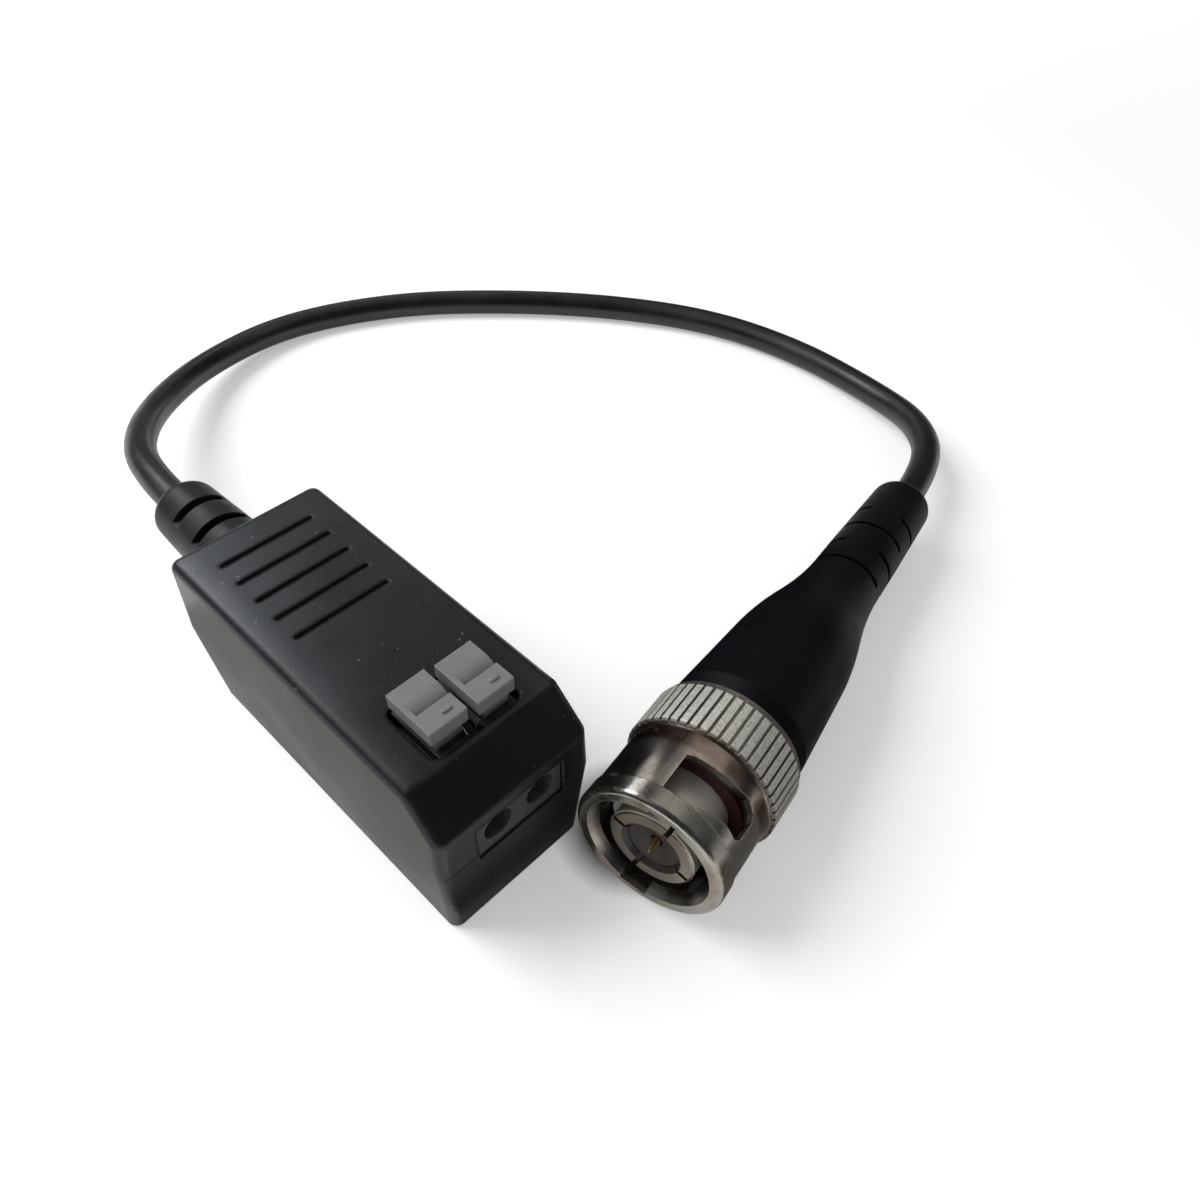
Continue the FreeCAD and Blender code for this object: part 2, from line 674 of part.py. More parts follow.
def make_terminal_block():
    body = new_body("terminal_block")
    nose_top = d.block_base + d.block_nose
    slope_low = d.bevel_height - d.case_wall * root(bevel_slope * bevel_slope + 1) - d.block_gap
    step = d.block_front
    slope_end = (block_roof - slope_low) / bevel_slope
    base = new_sketch(body, "YZ_Plane")
    draw_outline(base, [
        (front + d.block_inset, d.block_base), (front + d.block_inset, nose_top),
        (front + step, nose_top), (front + step, slope_low + bevel_slope * step),
        (front + slope_end, block_roof), (front + d.block_back, block_roof),
        (front + d.block_back, board_top), (front + step, board_top),
        (front + step, d.block_base)])
    pad(body, base, d.block_width, both=True)
    crown = new_sketch(body, "YZ_Plane")
    crown_front = front + d.window_front + d.crown_gap
    crown_back = front + d.window_front + d.window_length - d.crown_gap
    draw_rectangle(crown, crown_front, crown_back, block_roof - sunk, block_top)
    pad(body, crown, d.block_crown, both=True)
    web = new_sketch(body, "YZ_Plane")
    draw_rectangle(web, crown_front, crown_back, block_top - sunk, block_top + d.web_rise)
    pad(body, web, d.web_width, both=True)
    chambers = new_sketch(body, "XY_Plane", board_top)
    half = d.chamber_width / 2
    for side in (-1, 1):
        centre = d.lever_pitch * side / 2
        draw_rectangle(chambers, centre - half, centre + half, front + d.chamber_front,
                       front + d.chamber_front + d.chamber_length)
    pocket(body, chambers, d.chamber_top - board_top, flip=True)
    wells = new_sketch(body, "XY_Plane", block_top)
    half = d.stem_width / 2 + d.stem_gap
    for side in (-1, 1):
        centre = d.lever_pitch * side / 2
        stem_front = lever_front(side) + d.stem_inset
        draw_rectangle(wells, centre - half, centre + half,
                       stem_front - d.stem_gap, stem_front + d.stem_length + d.stem_gap)
    pocket(body, wells, block_top - d.chamber_top + sunk)
    for radius, length, taper in (
            (d.wire_radius, d.chamber_front - d.block_inset + sunk, None),
            (d.wire_mouth, d.wire_cone, -arctan((d.wire_mouth - d.wire_radius) / d.wire_cone))):
        entry = new_sketch(body, "XZ_Plane", -front - d.block_inset)
        for side in (-1, 1):
            draw_circle(entry, d.lever_pitch * side / 2, d.wire_height, radius)
        pocket(body, entry, length, taper=taper)
    body.setExpression("Placement.Base.x", d.terminal_offset.text)
    return body


def draw_finger_groove(sketch, wall):
    """A leaning wall and, behind it, a slope that rounds over into the lever's top."""
    above = cap_top + sunk
    floor = cap_top - d.finger_depth
    end = wall + d.finger_ramp
    radius = (d.finger_ramp * d.finger_ramp + d.finger_depth * d.finger_depth) / (d.finger_depth * 2)
    corners = [(end, above), (wall - d.finger_lean, above), (wall, floor), (end, cap_top)]
    spots = [FreeCAD.Vector(across.value, up.value, 0) for across, up in corners]
    centre = FreeCAD.Vector(end.value, (cap_top - radius).value, 0)
    circle = Part.Circle(centre, FreeCAD.Vector(0, 0, 1), radius.value)
    quarter = math.pi / 2
    turn = math.asin(d.finger_ramp.value / radius.value)
    sketch.addGeometry(Part.LineSegment(spots[0], spots[1]))
    sketch.addGeometry(Part.LineSegment(spots[1], spots[2]))
    sketch.addGeometry(Part.ArcOfCircle(circle, quarter, quarter + turn))
    sketch.addGeometry(Part.LineSegment(spots[3], spots[0]))
    for joint in ((0, 2, 1, 1), (1, 2, 2, 2), (2, 1, 3, 1), (3, 2, 0, 1)):
        sketch.addConstraint(Sketcher.Constraint("Coincident", *joint))
    for corner, (line, end_of_line) in enumerate(((0, 1), (1, 1), (1, 2), (3, 1))):
        tie_point(sketch, line, end_of_line, corners[corner])
    index = sketch.addConstraint(Sketcher.Constraint("DistanceX", -1, 1, 2, 3, end.value))
    sketch.setExpression(f"Constraints[{index}]", end.text)


def make_lever(label, side):
    body = new_body(label)
    front_edge = lever_front(side)
    back_edge = front_edge + d.lever_length
    half = d.lever_width / 2
    cap = new_sketch(body, "YZ_Plane")
    draw_rectangle(cap, front_edge, back_edge, cap_base, cap_top)
    pad(body, cap, d.lever_width, both=True)
    finger = new_sketch(body, "YZ_Plane", -half + d.lever_rim)
    draw_finger_groove(finger, front_edge + d.finger_front)
    pocket(body, finger, d.lever_width, flip=True)
    stem = new_sketch(body, "XY_Plane", cap_base + sunk)
    stem_front = front_edge + d.stem_inset
    draw_rectangle(stem, -d.stem_width / 2, d.stem_width / 2, stem_front, stem_front + d.stem_length)
    pad(body, stem, d.stem_reach + sunk, flip=True)
    limit = half.value - 0.01

    def is_cap_edge(edge):
        spot = middle(edge)
        at_end = min(abs(spot.y - front_edge.value), abs(spot.y - back_edge.value)) < 0.01
        on_top = abs(spot.z - cap_top.value) < 0.01
        return (upright(edge) and at_end and abs(spot.x) > limit) or (on_top and at_end)

    soften(body, "Fillet", d.lever_edge, is_cap_edge)
    nub = new_sketch(body, "XY_Plane", cap_top - sunk)
    nub_middle = front_edge + d.nub_place
    reach = (d.nub_length - d.nub_width) / 2
    draw_slot(nub, d.nub_side - reach, d.nub_side + reach, nub_middle, d.nub_width)
    pad(body, nub, d.nub_rise + sunk)
    nub_top = (cap_top + d.nub_rise).value
    soften(body, "Fillet", d.nub_round, lambda edge: edge.BoundBox.ZMin > nub_top - 0.01)
    body.setExpression("Placement.Base.x", terminal_x(side).text)
    return body


def make_contact(label, side):
    body = new_body(label)
    bar = new_sketch(body, "XY_Plane", bar_base)
    bar_front = front + d.bar_front
    bar_back = bar_front + d.bar_length
    draw_rectangle(bar, -d.bar_width / 2, d.bar_width / 2, bar_front, bar_back)
    pad(body, bar, d.bar_thick)
    tail = new_sketch(body, "XY_Plane", d.board_base - d.tail_depth)
    draw_rectangle(tail, -d.tail_width / 2, d.tail_width / 2, bar_back - d.bar_thick, bar_back)
    pad(body, tail, bar_base - d.board_base + d.tail_depth + sunk)
    body.setExpression("Placement.Base.x", terminal_x(side).text)
    return body


def make_clamp(label, side):
    """A spring strip bent into a cage, drawn along its outer face."""
    clamp = doc.addObject("Part::Feature", label)
    clamp.Label = label
    floor = (bar_top + 0.01).value
    back = (front + d.clamp_back).value
    roof = (cap_base - d.stem_reach - 0.05).value
    low = d.clamp_low_bend.value
    top = d.clamp_top_bend.value
    tip_y = (front + d.clamp_tip).value
    tip_z = floor + d.clamp_tip_lift.value
    arm = (front + d.clamp_arm).value
    diagonal = math.sqrt(0.5)

    def spot(y, z):
        return FreeCAD.Vector(0, y, z)

    start = spot((front + d.clamp_seat).value, floor)
    low_start, low_end = spot(back - low, floor), spot(back, floor + low)
    low_mid = spot(back - low + low * diagonal, floor + low - low * diagonal)
    top_start, top_end = spot(back, roof - top), spot(back - top, roof)
    top_mid = spot(back - top + top * diagonal, roof - top + top * diagonal)
    elbow, tip = spot(arm, roof), spot(tip_y, tip_z)
    path = Part.Wire([
        Part.LineSegment(start, low_start).toShape(),
        Part.Arc(low_start, low_mid, low_end).toShape(),
        Part.LineSegment(low_end, top_start).toShape(),
        Part.Arc(top_start, top_mid, top_end).toShape(),
        Part.LineSegment(top_end, elbow).toShape(),
        Part.LineSegment(elbow, tip).toShape()])
    strip = path.makeOffset2D(-d.clamp_thick.value, join=2, fill=True, openResult=True)
    if strip.BoundBox.ZMax > roof + 1e-6:
        strip = path.makeOffset2D(d.clamp_thick.value, join=2, fill=True, openResult=True)
    face = strip.Faces[0]
    face.translate(FreeCAD.Vector(-d.clamp_width.value / 2, 0, 0))
    solid = face.extrude(FreeCAD.Vector(d.clamp_width.value, 0, 0))
    clamp.Shape = solid
    clamp.Placement.Base = FreeCAD.Vector(terminal_x(side).value, 0, 0)
    return clamp


def make_circuit_board():
    body = new_body("circuit_board")
    plate = new_sketch(body, "XY_Plane", d.board_base)
    draw_rectangle(plate, -board_width / 2, board_width / 2, front + d.board_front, front + board_rear)
    pad(body, plate, d.board_thick)
    holes = new_sketch(body, "XY_Plane", board_top)
    for side in (-1, 1):
        for place in post_places:
            draw_circle(holes, d.post_side * side, front + place, d.peg_radius + d.peg_gap)
        draw_circle(holes, d.pin_side * side, front + d.capacitor_place, d.pin_radius + d.peg_gap)
        tail_back = front + d.bar_front + d.bar_length
        draw_rectangle(holes, terminal_x(side) - d.tail_width / 2 - d.peg_gap,
                       terminal_x(side) + d.tail_width / 2 + d.peg_gap,
                       tail_back - d.bar_thick - d.peg_gap, tail_back + d.peg_gap)
    pocket(body, holes, d.board_thick)
    return body


def make_ferrite_core():
    body = new_body("ferrite_core")
    section = new_sketch(body, "XZ_Plane")
    low = board_top + d.core_lift
    draw_rectangle(section, d.core_inner, d.core_outer, low, low + d.core_thick)
    spin(body, "Revolution", section)
    body.setExpression("Placement.Base.y", (front + d.core_place).text)
    return body


def make_winding(label, side):
    """Turns of wire round the ring, each laid flat on its square section."""
    body = new_body(label)
    turn = new_sketch(body, "XZ_Plane")
    low = board_top + d.core_lift
    high = low + d.core_thick
    for grown in (d.turn_gap + d.turn_wire, d.turn_gap):
        draw_rectangle(turn, d.core_inner - grown, d.core_outer + grown, low - grown, high + grown)
    first = pad(body, turn, d.turn_wire, both=True)
    reach = d.turn_arc * (d.turn_count - 1) / d.turn_count
    ring_pattern(body, first, d.turn_count, reach)
    centre_angle = 180 if side < 0 else 0
    start = centre_angle - reach.value / 2
    body.Placement.Rotation = FreeCAD.Rotation(FreeCAD.Vector(0, 0, 1), start)
    body.setExpression("Placement.Base.y", (front + d.core_place).text)
    return body


def make_capacitor():
    body = new_body("capacitor")
    place = front + d.capacitor_place
    centre = board_top + d.capacitor_lift + d.capacitor_radius
    disc = new_sketch(body, "XZ_Plane", -place)
    draw_circle(disc, 0, centre, d.capacitor_radius)
    pad(body, disc, d.capacitor_thick, both=True)
    soften(body, "Fillet", d.capacitor_thick / 4, lambda edge: edge.Length > d.capacitor_radius.value * 6)
    pins = new_sketch(body, "XY_Plane", d.board_base - d.tail_depth)
    for side in (-1, 1):
        draw_circle(pins, d.pin_side * side, place, d.pin_radius)
    pad(body, pins, centre - d.board_base + d.tail_depth)
    return body


def make_chips(label, places, length, depth, height, across):
    """Rectangular parts soldered flat on the board."""
    body = new_body(label)
    sketch = new_sketch(body, "XY_Plane", board_top)
    for place in places:
        draw_rectangle(sketch, across - length / 2, across + length / 2,
                       front + place - depth / 2, front + place + depth / 2)
    pad(body, sketch, height)
    return body


def rounded_path(points):
    """Straight runs joined by tangent arcs, each as large as its two runs allow."""
    share = 0.45
    edges = []
    radii = []
    last = points[0]
    for before, here, after in zip(points, points[1:], points[2:]):
        into = here - before
        out = after - here
        run = min(into.Length, out.Length)
        turn = into.getAngle(out)
        into.normalize()
        out.normalize()
        reach = share * run
        radius = reach / math.tan(turn / 2)
        start = here - into * reach
        end = here + out * reach
        inward = out - into
        inward.normalize()
        centre = here + inward * (radius / math.cos(turn / 2))
        edges.append(Part.LineSegment(last, start).toShape())
        edges.append(Part.Arc(start, centre - inward * radius, end).toShape())
        radii.append(radius)
        last = end
    edges.append(Part.LineSegment(last, points[-1]).toShape())
    return Part.Wire(edges), radii


def make_tube(label, points, radius):
    path, radii = rounded_path(points)
    circle = Part.Circle(points[0], points[1] - points[0], radius.value)
    section = Part.Wire([circle.toShape()])
    solid = path.makePipeShell([section], True, False)
    tube = doc.addObject("Part::Feature", label)
    tube.Label = label
    tube.Shape = solid
    expected = math.pi * radius.value ** 2 * path.Length
    listed = ", ".join(f"{value:.1f}" for value in radii)
    print(f"{label}: length {path.Length:.1f}, radii {listed}")
    print(f"{label}: volume {solid.Volume:.1f}, section times length {expected:.1f}")
    return tube


def make_strain_relief():
    body = new_body("strain_relief")
    outline = new_sketch(body, "XZ_Plane")
    lean = d.bottom_draft * d.relief_flange / d.parting_height
    inside = -d.case_wall - lean - d.relief_gap
    draw_outline(outline, [
        (d.lead_radius, inside - d.relief_flange_thick), (d.relief_flange, inside - d.relief_flange_thick),
        (d.relief_flange, inside), (d.relief_neck, inside), (d.relief_neck, d.relief_gap),
        (d.relief_root, d.relief_gap), (d.relief_end, d.relief_length), (d.lead_radius, d.relief_length)])
    spin(body, "Revolution", outline)
    soften(body, "Fillet", d.relief_round,
           lambda edge: abs(edge.BoundBox.ZMin - d.relief_length.value) < 1e-6
           and edge.Length > 6 * d.lead_radius.value + 2)
    slots = new_sketch(body, "XY_Plane", d.slot_first)
    for side in (-1, 1):
        low, high = sorted((d.slot_core * side, d.relief_root * 1.2 * side), key=lambda size: size.value)
        draw_rectangle(slots, -d.slot_side, d.slot_side, low, high)
    first = pocket(body, slots, d.slot_width, flip=True)
    row_pattern(body, first, as_size(2), d.slot_pitch, "Z_Axis")
    body.Placement.Rotation = FreeCAD.Rotation(FreeCAD.Vector(1, 0, 0), -90)
    body.setExpression("Placement.Base.y", rear.text)
    body.setExpression("Placement.Base.z", d.parting_height.text)
    return body


def make_lead_start():
    lead = doc.addObject("Part::Cylinder", "lead_start")
    lead.Label = "lead_start"
    bind(lead, Radius=d.lead_radius, Height=d.case_length - d.lead_start_place + d.relief_length)
    lead.Placement.Rotation = FreeCAD.Rotation(FreeCAD.Vector(1, 0, 0), -90)
    lead.setExpression("Placement.Base.y", (front + d.lead_start_place).text)
    lead.setExpression("Placement.Base.z", d.parting_height.text)
    return lead


def make_bared_ends():
    """The lead's inner conductor and its braid, bent down to the board."""
    start = (front + d.lead_start_place).value
    axis = d.parting_height.value
    level = board_top.value + d.inner_radius.value
    right = d.inner_side.value
    core = [(0, start, axis), (0, start - d.inner_straight.value, axis),
            (right, start - d.inner_drop.value, level + d.solder_lift.value),
            (right, start - d.inner_reach.value, level)]
    side = (d.braid_radius + d.braid_inset - d.lead_radius).value
    bend = start - d.braid_straight.value
    foot = (board_top + d.braid_radius + d.braid_lift).value
    braid = [(side, start, axis), (side, bend, axis),
             (side - d.braid_bow.value, bend - d.braid_lift.value, foot + d.braid_rise.value),
             (side - d.braid_spread.value, bend + d.braid_inset.value, foot)]
    make_tube("core_wire", [FreeCAD.Vector(*spot) for spot in core], d.inner_radius)
    make_tube("braid_tail", [FreeCAD.Vector(*spot) for spot in braid], d.braid_radius)


def plug_place(turn=0.0):
    """The plug's frame: Z runs back along its axis from the nut's front face."""
    yaw = FreeCAD.Rotation(FreeCAD.Vector(0, 0, 1), d.plug_yaw.value - 90)
    lean = FreeCAD.Rotation(FreeCAD.Vector(1, 0, 0), -90 - d.plug_tilt.value)
    spun = FreeCAD.Rotation(FreeCAD.Vector(0, 0, 1), turn)
    half_turn = FreeCAD.Rotation(FreeCAD.Vector(0, 0, 1), 180)
    base = FreeCAD.Vector(d.plug_x.value, d.plug_y.value, d.plug_z.value)
    return FreeCAD.Placement(base, yaw * lean * half_turn * spun)


def turned_piece(label, outline, turn=0.0):
    """A round piece of the plug, from its half section (radius, distance back)."""
    body = new_body(label)
    sketch = new_sketch(body, "XZ_Plane")
    draw_outline(sketch, outline)
    spin(body, "Revolution", sketch)
    body.Placement = plug_place(turn)
    return body


def washer_outline(inner, outer, start, thick):
    return [(inner, start), (outer, start), (outer, start + thick), (inner, start + thick)]


def make_plug_body():
    bevel = d.contact_chamfer
    clip_end = clip_front + d.clip_thick + d.clip_play * 2
    seat = d.shank_radius - d.ring_seat
    body = turned_piece("plug_body", [
        (d.contact_bore, d.contact_front + bevel), (d.contact_bore + bevel, d.contact_front),
        (d.contact_radius - bevel / 2, d.contact_front), (d.contact_radius, d.contact_front + bevel / 2),
        (d.contact_radius, d.gasket_front), (d.gasket_seat, d.gasket_front),
        (d.gasket_seat, d.flange_front), (d.flange_radius, d.flange_front),
        (d.flange_radius, flange_back), (d.shank_radius, flange_back),
        (d.shank_radius, clip_front), (seat, clip_front), (seat, clip_end),
        (d.shank_radius, clip_end), (d.shank_radius, d.shank_end), (d.stem_outer, d.shank_end),
        (d.stem_outer, d.stem_end), (d.stem_bore, d.stem_end), (d.stem_bore, d.core_back + d.core_gap),
        (d.contact_bore, d.core_back + d.core_gap)], d.contact_turn.value)
    slot = new_sketch(body, "XY_Plane")
    draw_rectangle(slot, d.contact_bore - sunk, d.contact_radius + sunk,
                   -d.contact_slot / 2, d.contact_slot / 2)
    first = pocket(body, slot, d.contact_slot_end, flip=True)
    ring_pattern(body, first, 4)
    return body


def make_plug_core():
    turned_piece("plug_dielectric", washer_outline(d.pin_size + d.pin_gap, d.contact_bore - d.core_gap,
                                                   d.core_front, d.core_back - d.core_front))
    turned_piece("centre_pin", [
        (0, d.pin_tip), (d.pin_point, d.pin_tip), (d.pin_size, d.pin_tip + d.pin_taper),
        (d.pin_size, d.pin_end), (0, d.pin_end)])
    turned_piece("gasket", washer_outline(d.gasket_seat + d.gasket_gap, d.flange_radius,
                                          d.gasket_front, d.gasket_thick))


def make_coupling_nut():
    body = turned_piece("coupling_nut", [
        (d.nut_mouth, 0), (d.nut_front_radius, 0), (d.nut_front_radius, d.nut_rim),
        (d.nut_land_radius, d.nut_rim), (d.nut_land_radius, d.knurl_front),
        (d.nut_knurl_radius - d.knurl_bevel, d.knurl_front),
        (d.nut_knurl_radius, d.knurl_front + d.knurl_bevel),
        (d.nut_knurl_radius, d.knurl_back - d.knurl_bevel),
        (d.nut_back_radius, d.knurl_back), (d.nut_back_radius, d.nut_back),
        (d.nut_hole, d.nut_back), (d.nut_hole, nut_shoulder), (d.nut_chamber, nut_shoulder),
        (d.nut_chamber, d.chamber_start), (d.nut_bore, d.chamber_start), (d.nut_bore, d.nut_cone)],
        d.nut_turn.value)
    rim = 2 * math.pi * d.nut_front_radius.value
    soften(body, "Fillet", d.nut_edge,
           lambda edge: abs(edge.BoundBox.ZMax) < 1e-6 and abs(edge.Length - rim) < 0.01)
    lug = new_sketch(body, "XY_Plane")
    draw_rectangle(lug, d.nut_bore - 1, d.lug_reach, -d.lug_width / 2, d.lug_width / 2)
    turn = FreeCAD.Rotation(FreeCAD.Vector(0, 0, 1), d.lug_turn.value)
    lug.AttachmentOffset = FreeCAD.Placement(FreeCAD.Vector(0, 0, 0), turn)
    channel = pocket(body, lug, d.lug_end, flip=True)
    ring_pattern(body, channel, 2)
    window = new_sketch(body, "YZ_Plane", d.nut_bore - 1)
    low = d.window_front_edge
    high = d.window_back_edge
    half = d.window_half
    corner = d.window_corner
    ramp_top = low + d.ramp_rise
    draw_outline(window, [
        (-half, low), (d.ramp_start, low), (d.ramp_end, ramp_top), (half - corner, ramp_top),
        (half, ramp_top + corner), (half, high - corner), (half - corner, high),
        (d.seat_turn, high + d.seat_depth), (corner, high), (-half + corner, high - corner / 2),
        (-half, high - corner)])
    opening = pocket(body, window, d.nut_knurl_radius, flip=True)
    ring_pattern(body, opening, 2)
    notch = new_sketch(body, "XY_Plane", d.knurl_front - sunk)
    bottom = d.nut_knurl_radius - d.knurl_groove
    draw_rectangle(notch, bottom, d.nut_knurl_radius + sunk, -d.knurl_groove / 2, d.knurl_groove / 2)
    groove = pocket(body, notch, d.knurl_back - d.knurl_front + sunk * 2, flip=True)
    ring_pattern(body, groove, d.knurl_count)
    return body


def make_thrust_washer():
    turned_piece("thrust_washer", washer_outline(d.thrust_inner, d.thrust_outer,
                                                 thrust_front, d.thrust_thick))


def make_wave_washer():
    """A thin ring that rises and falls, resting on the thrust washer."""
    washer = doc.addObject("Part::Feature", "wave_washer")
    washer.Label = "wave_washer"
    level = (wave_front + d.wave_height).value
    waves = int(d.wave_count.value)
    steps = waves * 8

    def loop(radius, lift):
        spots = []
        for step in range(steps):
            angle = 2 * math.pi * step / steps
            rise = d.wave_height.value * math.cos(waves * angle)
            across = FreeCAD.Vector(radius * math.cos(angle), radius * math.sin(angle), 0)
            spots.append(across + FreeCAD.Vector(0, 0, level + lift + rise))
        curve = Part.BSplineCurve()
        curve.interpolate(spots, PeriodicFlag=True)
        return curve.toShape()

    inner, outer = d.wave_inner.value, d.wave_outer.value
    thick = d.wave_thick.value
    corners = [loop(inner, 0), loop(outer, 0), loop(outer, thick), loop(inner, thick)]
    faces = [Part.makeRuledSurface(corners[step], corners[(step + 1) % 4]) for step in range(4)]
    shell = Part.makeShell(faces)
    shell.sewShape()
    solid = Part.makeSolid(shell)
    if solid.Volume < 0:
        solid.reverse()
    washer.Shape = solid
    washer.Placement = plug_place()
    return washer


def make_retaining_ring():
    start = clip_front + d.clip_play
    body = turned_piece("retaining_ring", washer_outline(
        d.shank_radius - d.ring_seat + d.clip_play, d.clip_outer, start, d.clip_thick))
    mouth = new_sketch(body, "XY_Plane", start - sunk)
    draw_rectangle(mouth, d.clip_thick, d.clip_outer + sunk, -d.clip_mouth / 2, d.clip_mouth / 2)
    pocket(body, mouth, d.clip_thick + sunk * 2, flip=True)
    return body


def make_lead_end():
    turned_piece("braid_end", washer_outline(d.stem_outer, d.braid_outer, d.shank_end,
                                             d.stem_end - d.shank_end))
    turned_piece("crimp_ferrule", washer_outline(d.braid_outer, d.ferrule_outer, d.shank_end,
                                                 d.ferrule_end - d.shank_end))
    lead = doc.addObject("Part::Cylinder", "lead_end")
    lead.Label = "lead_end"
    start = d.stem_end + d.boot_gap
    bind(lead, Radius=d.lead_radius, Height=d.boot_end - start)
    lead.Placement = plug_place() * FreeCAD.Placement(FreeCAD.Vector(0, 0, start.value), FreeCAD.Rotation())


def make_plug_boot():
    clip_room = d.clip_outer + d.boot_gap * 4
    clip_back = clip_front + d.clip_thick + d.boot_gap * 3
    shank_room = d.shank_radius + d.boot_gap
    ferrule_room = d.ferrule_outer + d.boot_gap
    body = turned_piece("plug_boot", [
        (clip_room, d.boot_front), (d.boot_nose_radius, d.boot_front),
        (d.boot_front_radius, d.boot_front + d.boot_nose),
        (d.boot_grip_radius, d.boot_grip), (d.boot_waist_radius, d.boot_waist),
        (d.boot_tail_radius, d.boot_tail_mid), (d.boot_end_radius, d.boot_end),
        (d.lead_radius, d.boot_end), (d.lead_radius, d.ferrule_end + d.boot_gap),
        (ferrule_room, d.ferrule_end + d.boot_gap), (ferrule_room, d.shank_end + d.boot_gap),
        (shank_room, d.shank_end + d.boot_gap), (shank_room, clip_back), (clip_room, clip_back)])

    def circle_at(radius, place):
        length = 2 * math.pi * radius.value
        return lambda edge: (abs(edge.BoundBox.ZMin - place.value) < 1e-6
                             and abs(edge.Length - length) < 0.01)

    soften(body, "Fillet", d.boot_shoulder, circle_at(d.boot_grip_radius, d.boot_grip))
    soften(body, "Fillet", d.boot_shoulder, circle_at(d.boot_waist_radius, d.boot_waist))
    soften(body, "Fillet", d.boot_edge, circle_at(d.boot_nose_radius, d.boot_front))
    soften(body, "Fillet", d.boot_edge, circle_at(d.boot_front_radius, d.boot_front + d.boot_nose))
    soften(body, "Fillet", d.boot_round, circle_at(d.boot_end_radius, d.boot_end))
    for number in range(int(d.tail_slot_count.value)):
        plane = "YZ_Plane" if number % 2 == 0 else "XZ_Plane"
        place = d.tail_slot_first + d.tail_slot_pitch * number
        slot = new_sketch(body, plane)
        draw_rectangle(slot, d.tail_slot_core, d.boot_waist_radius + 1,
                       place - d.tail_slot_width / 2, place + d.tail_slot_width / 2)
        first = spin(body, "Groove", slot, d.tail_slot_arc, both=True)
        ring_pattern(body, first, 2)
    return body


def make_cable():
    """The free lead, from the end of the relief round to the end of the boot."""
    leave = FreeCAD.Vector(0, (rear + d.relief_length).value, d.parting_height.value)
    out = FreeCAD.Vector(0, d.lead_leave.value, 0)
    back = plug_place().Rotation.multVec(FreeCAD.Vector(0, 0, 1))
    arrive = plug_place().multVec(FreeCAD.Vector(0, 0, d.boot_end.value))
    chosen = [(3.0, 51.0, 9.0), (9.8, 60.2, 6.0), (20.6, 68.6, 3.0), (35.0, 71.4, 1.8),
              (50.5, 64.8, 1.8), (63.5, 53.6, 1.8), (74.4, 41.0, 1.8), (82.2, 27.6, 1.8),
              (85.0, 13.4, 1.8), (83.4, -0.6, 2.3), (79.0, -10.0, 4.2)]
    points = [leave, leave + out]
    points += [FreeCAD.Vector(*spot) for spot in chosen]
    points += [arrive + back * d.lead_run.value, arrive]
    make_tube("cable", points, d.lead_radius)


def make_pieces():
    make_top_cover()
    make_bottom_cover()
    make_terminal_block()
    for name, side in (("left", -1), ("right", 1)):
        make_lever(f"lever_{name}", side)
        make_clamp(f"clamp_{name}", side)
        make_contact(f"contact_{name}", side)
    make_circuit_board()
    make_ferrite_core()
    make_winding("winding_a", -1)
    make_winding("winding_b", 1)
    make_capacitor()
    make_chips("surge_diode", [d.diode_place], d.diode_length, d.diode_depth, d.diode_height, -d.diode_side)
    make_chips("resistors", [d.chip_place, d.chip_place + d.chip_pitch],
               d.chip_length, d.chip_depth, d.chip_height, d.chip_side)
    make_strain_relief()
    make_lead_start()
    make_bared_ends()
    make_plug_body()
    make_plug_core()
    make_coupling_nut()
    make_thrust_washer()
    make_wave_washer()
    make_retaining_ring()
    make_lead_end()
    make_plug_boot()
    make_cable()


NODES = ("top_cover bottom_cover terminal_block lever_left lever_right clamp_left clamp_right "
         "contact_left contact_right circuit_board ferrite_core winding_a winding_b capacitor "
         "surge_diode resistors strain_relief lead_start core_wire braid_tail plug_body "
         "plug_dielectric centre_pin gasket coupling_nut thrust_washer wave_washer retaining_ring "
         "braid_end crimp_ferrule lead_end plug_boot cable").split()


def check_and_write():
    doc.recompute()
    for item in doc.Objects:
        if "Invalid" in item.State or "Error" in item.State:
            raise ValueError(f"{item.Name} in {item.Label} failed: {item.State}")
    pieces = [doc.getObjectsByLabel(label)[0] for label in NODES]
    for piece in pieces:
        if piece.Shape.isNull() or not piece.Shape.isValid():
            raise ValueError(f"{piece.Label} has no valid shape")
    os.makedirs("parts", exist_ok=True)
    for piece in pieces:
        piece.Shape.exportStep(f"parts/{piece.Label}.step")
    print(f"{len(pieces)} pieces written")


make_pieces()
check_and_write()
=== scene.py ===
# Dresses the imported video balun: its finishes, its free lead and the small marks that the solids leave out.
import math

import bpy
from mathutils import Matrix, Vector


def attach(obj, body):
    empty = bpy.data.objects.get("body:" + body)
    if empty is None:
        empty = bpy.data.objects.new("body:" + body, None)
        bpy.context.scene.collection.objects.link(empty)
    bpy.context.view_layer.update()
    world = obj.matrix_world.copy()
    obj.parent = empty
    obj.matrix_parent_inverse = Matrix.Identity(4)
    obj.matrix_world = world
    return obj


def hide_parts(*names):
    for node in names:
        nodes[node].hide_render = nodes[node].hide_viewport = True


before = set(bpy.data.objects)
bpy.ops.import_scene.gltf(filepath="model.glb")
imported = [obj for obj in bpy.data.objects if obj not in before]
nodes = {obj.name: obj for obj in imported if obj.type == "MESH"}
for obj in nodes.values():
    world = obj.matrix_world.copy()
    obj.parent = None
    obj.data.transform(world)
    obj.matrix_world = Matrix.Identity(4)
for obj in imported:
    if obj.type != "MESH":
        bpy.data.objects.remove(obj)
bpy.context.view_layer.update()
scene = bpy.context.scene
mm = 0.001
print("frame loaded with", len(nodes), "nodes")


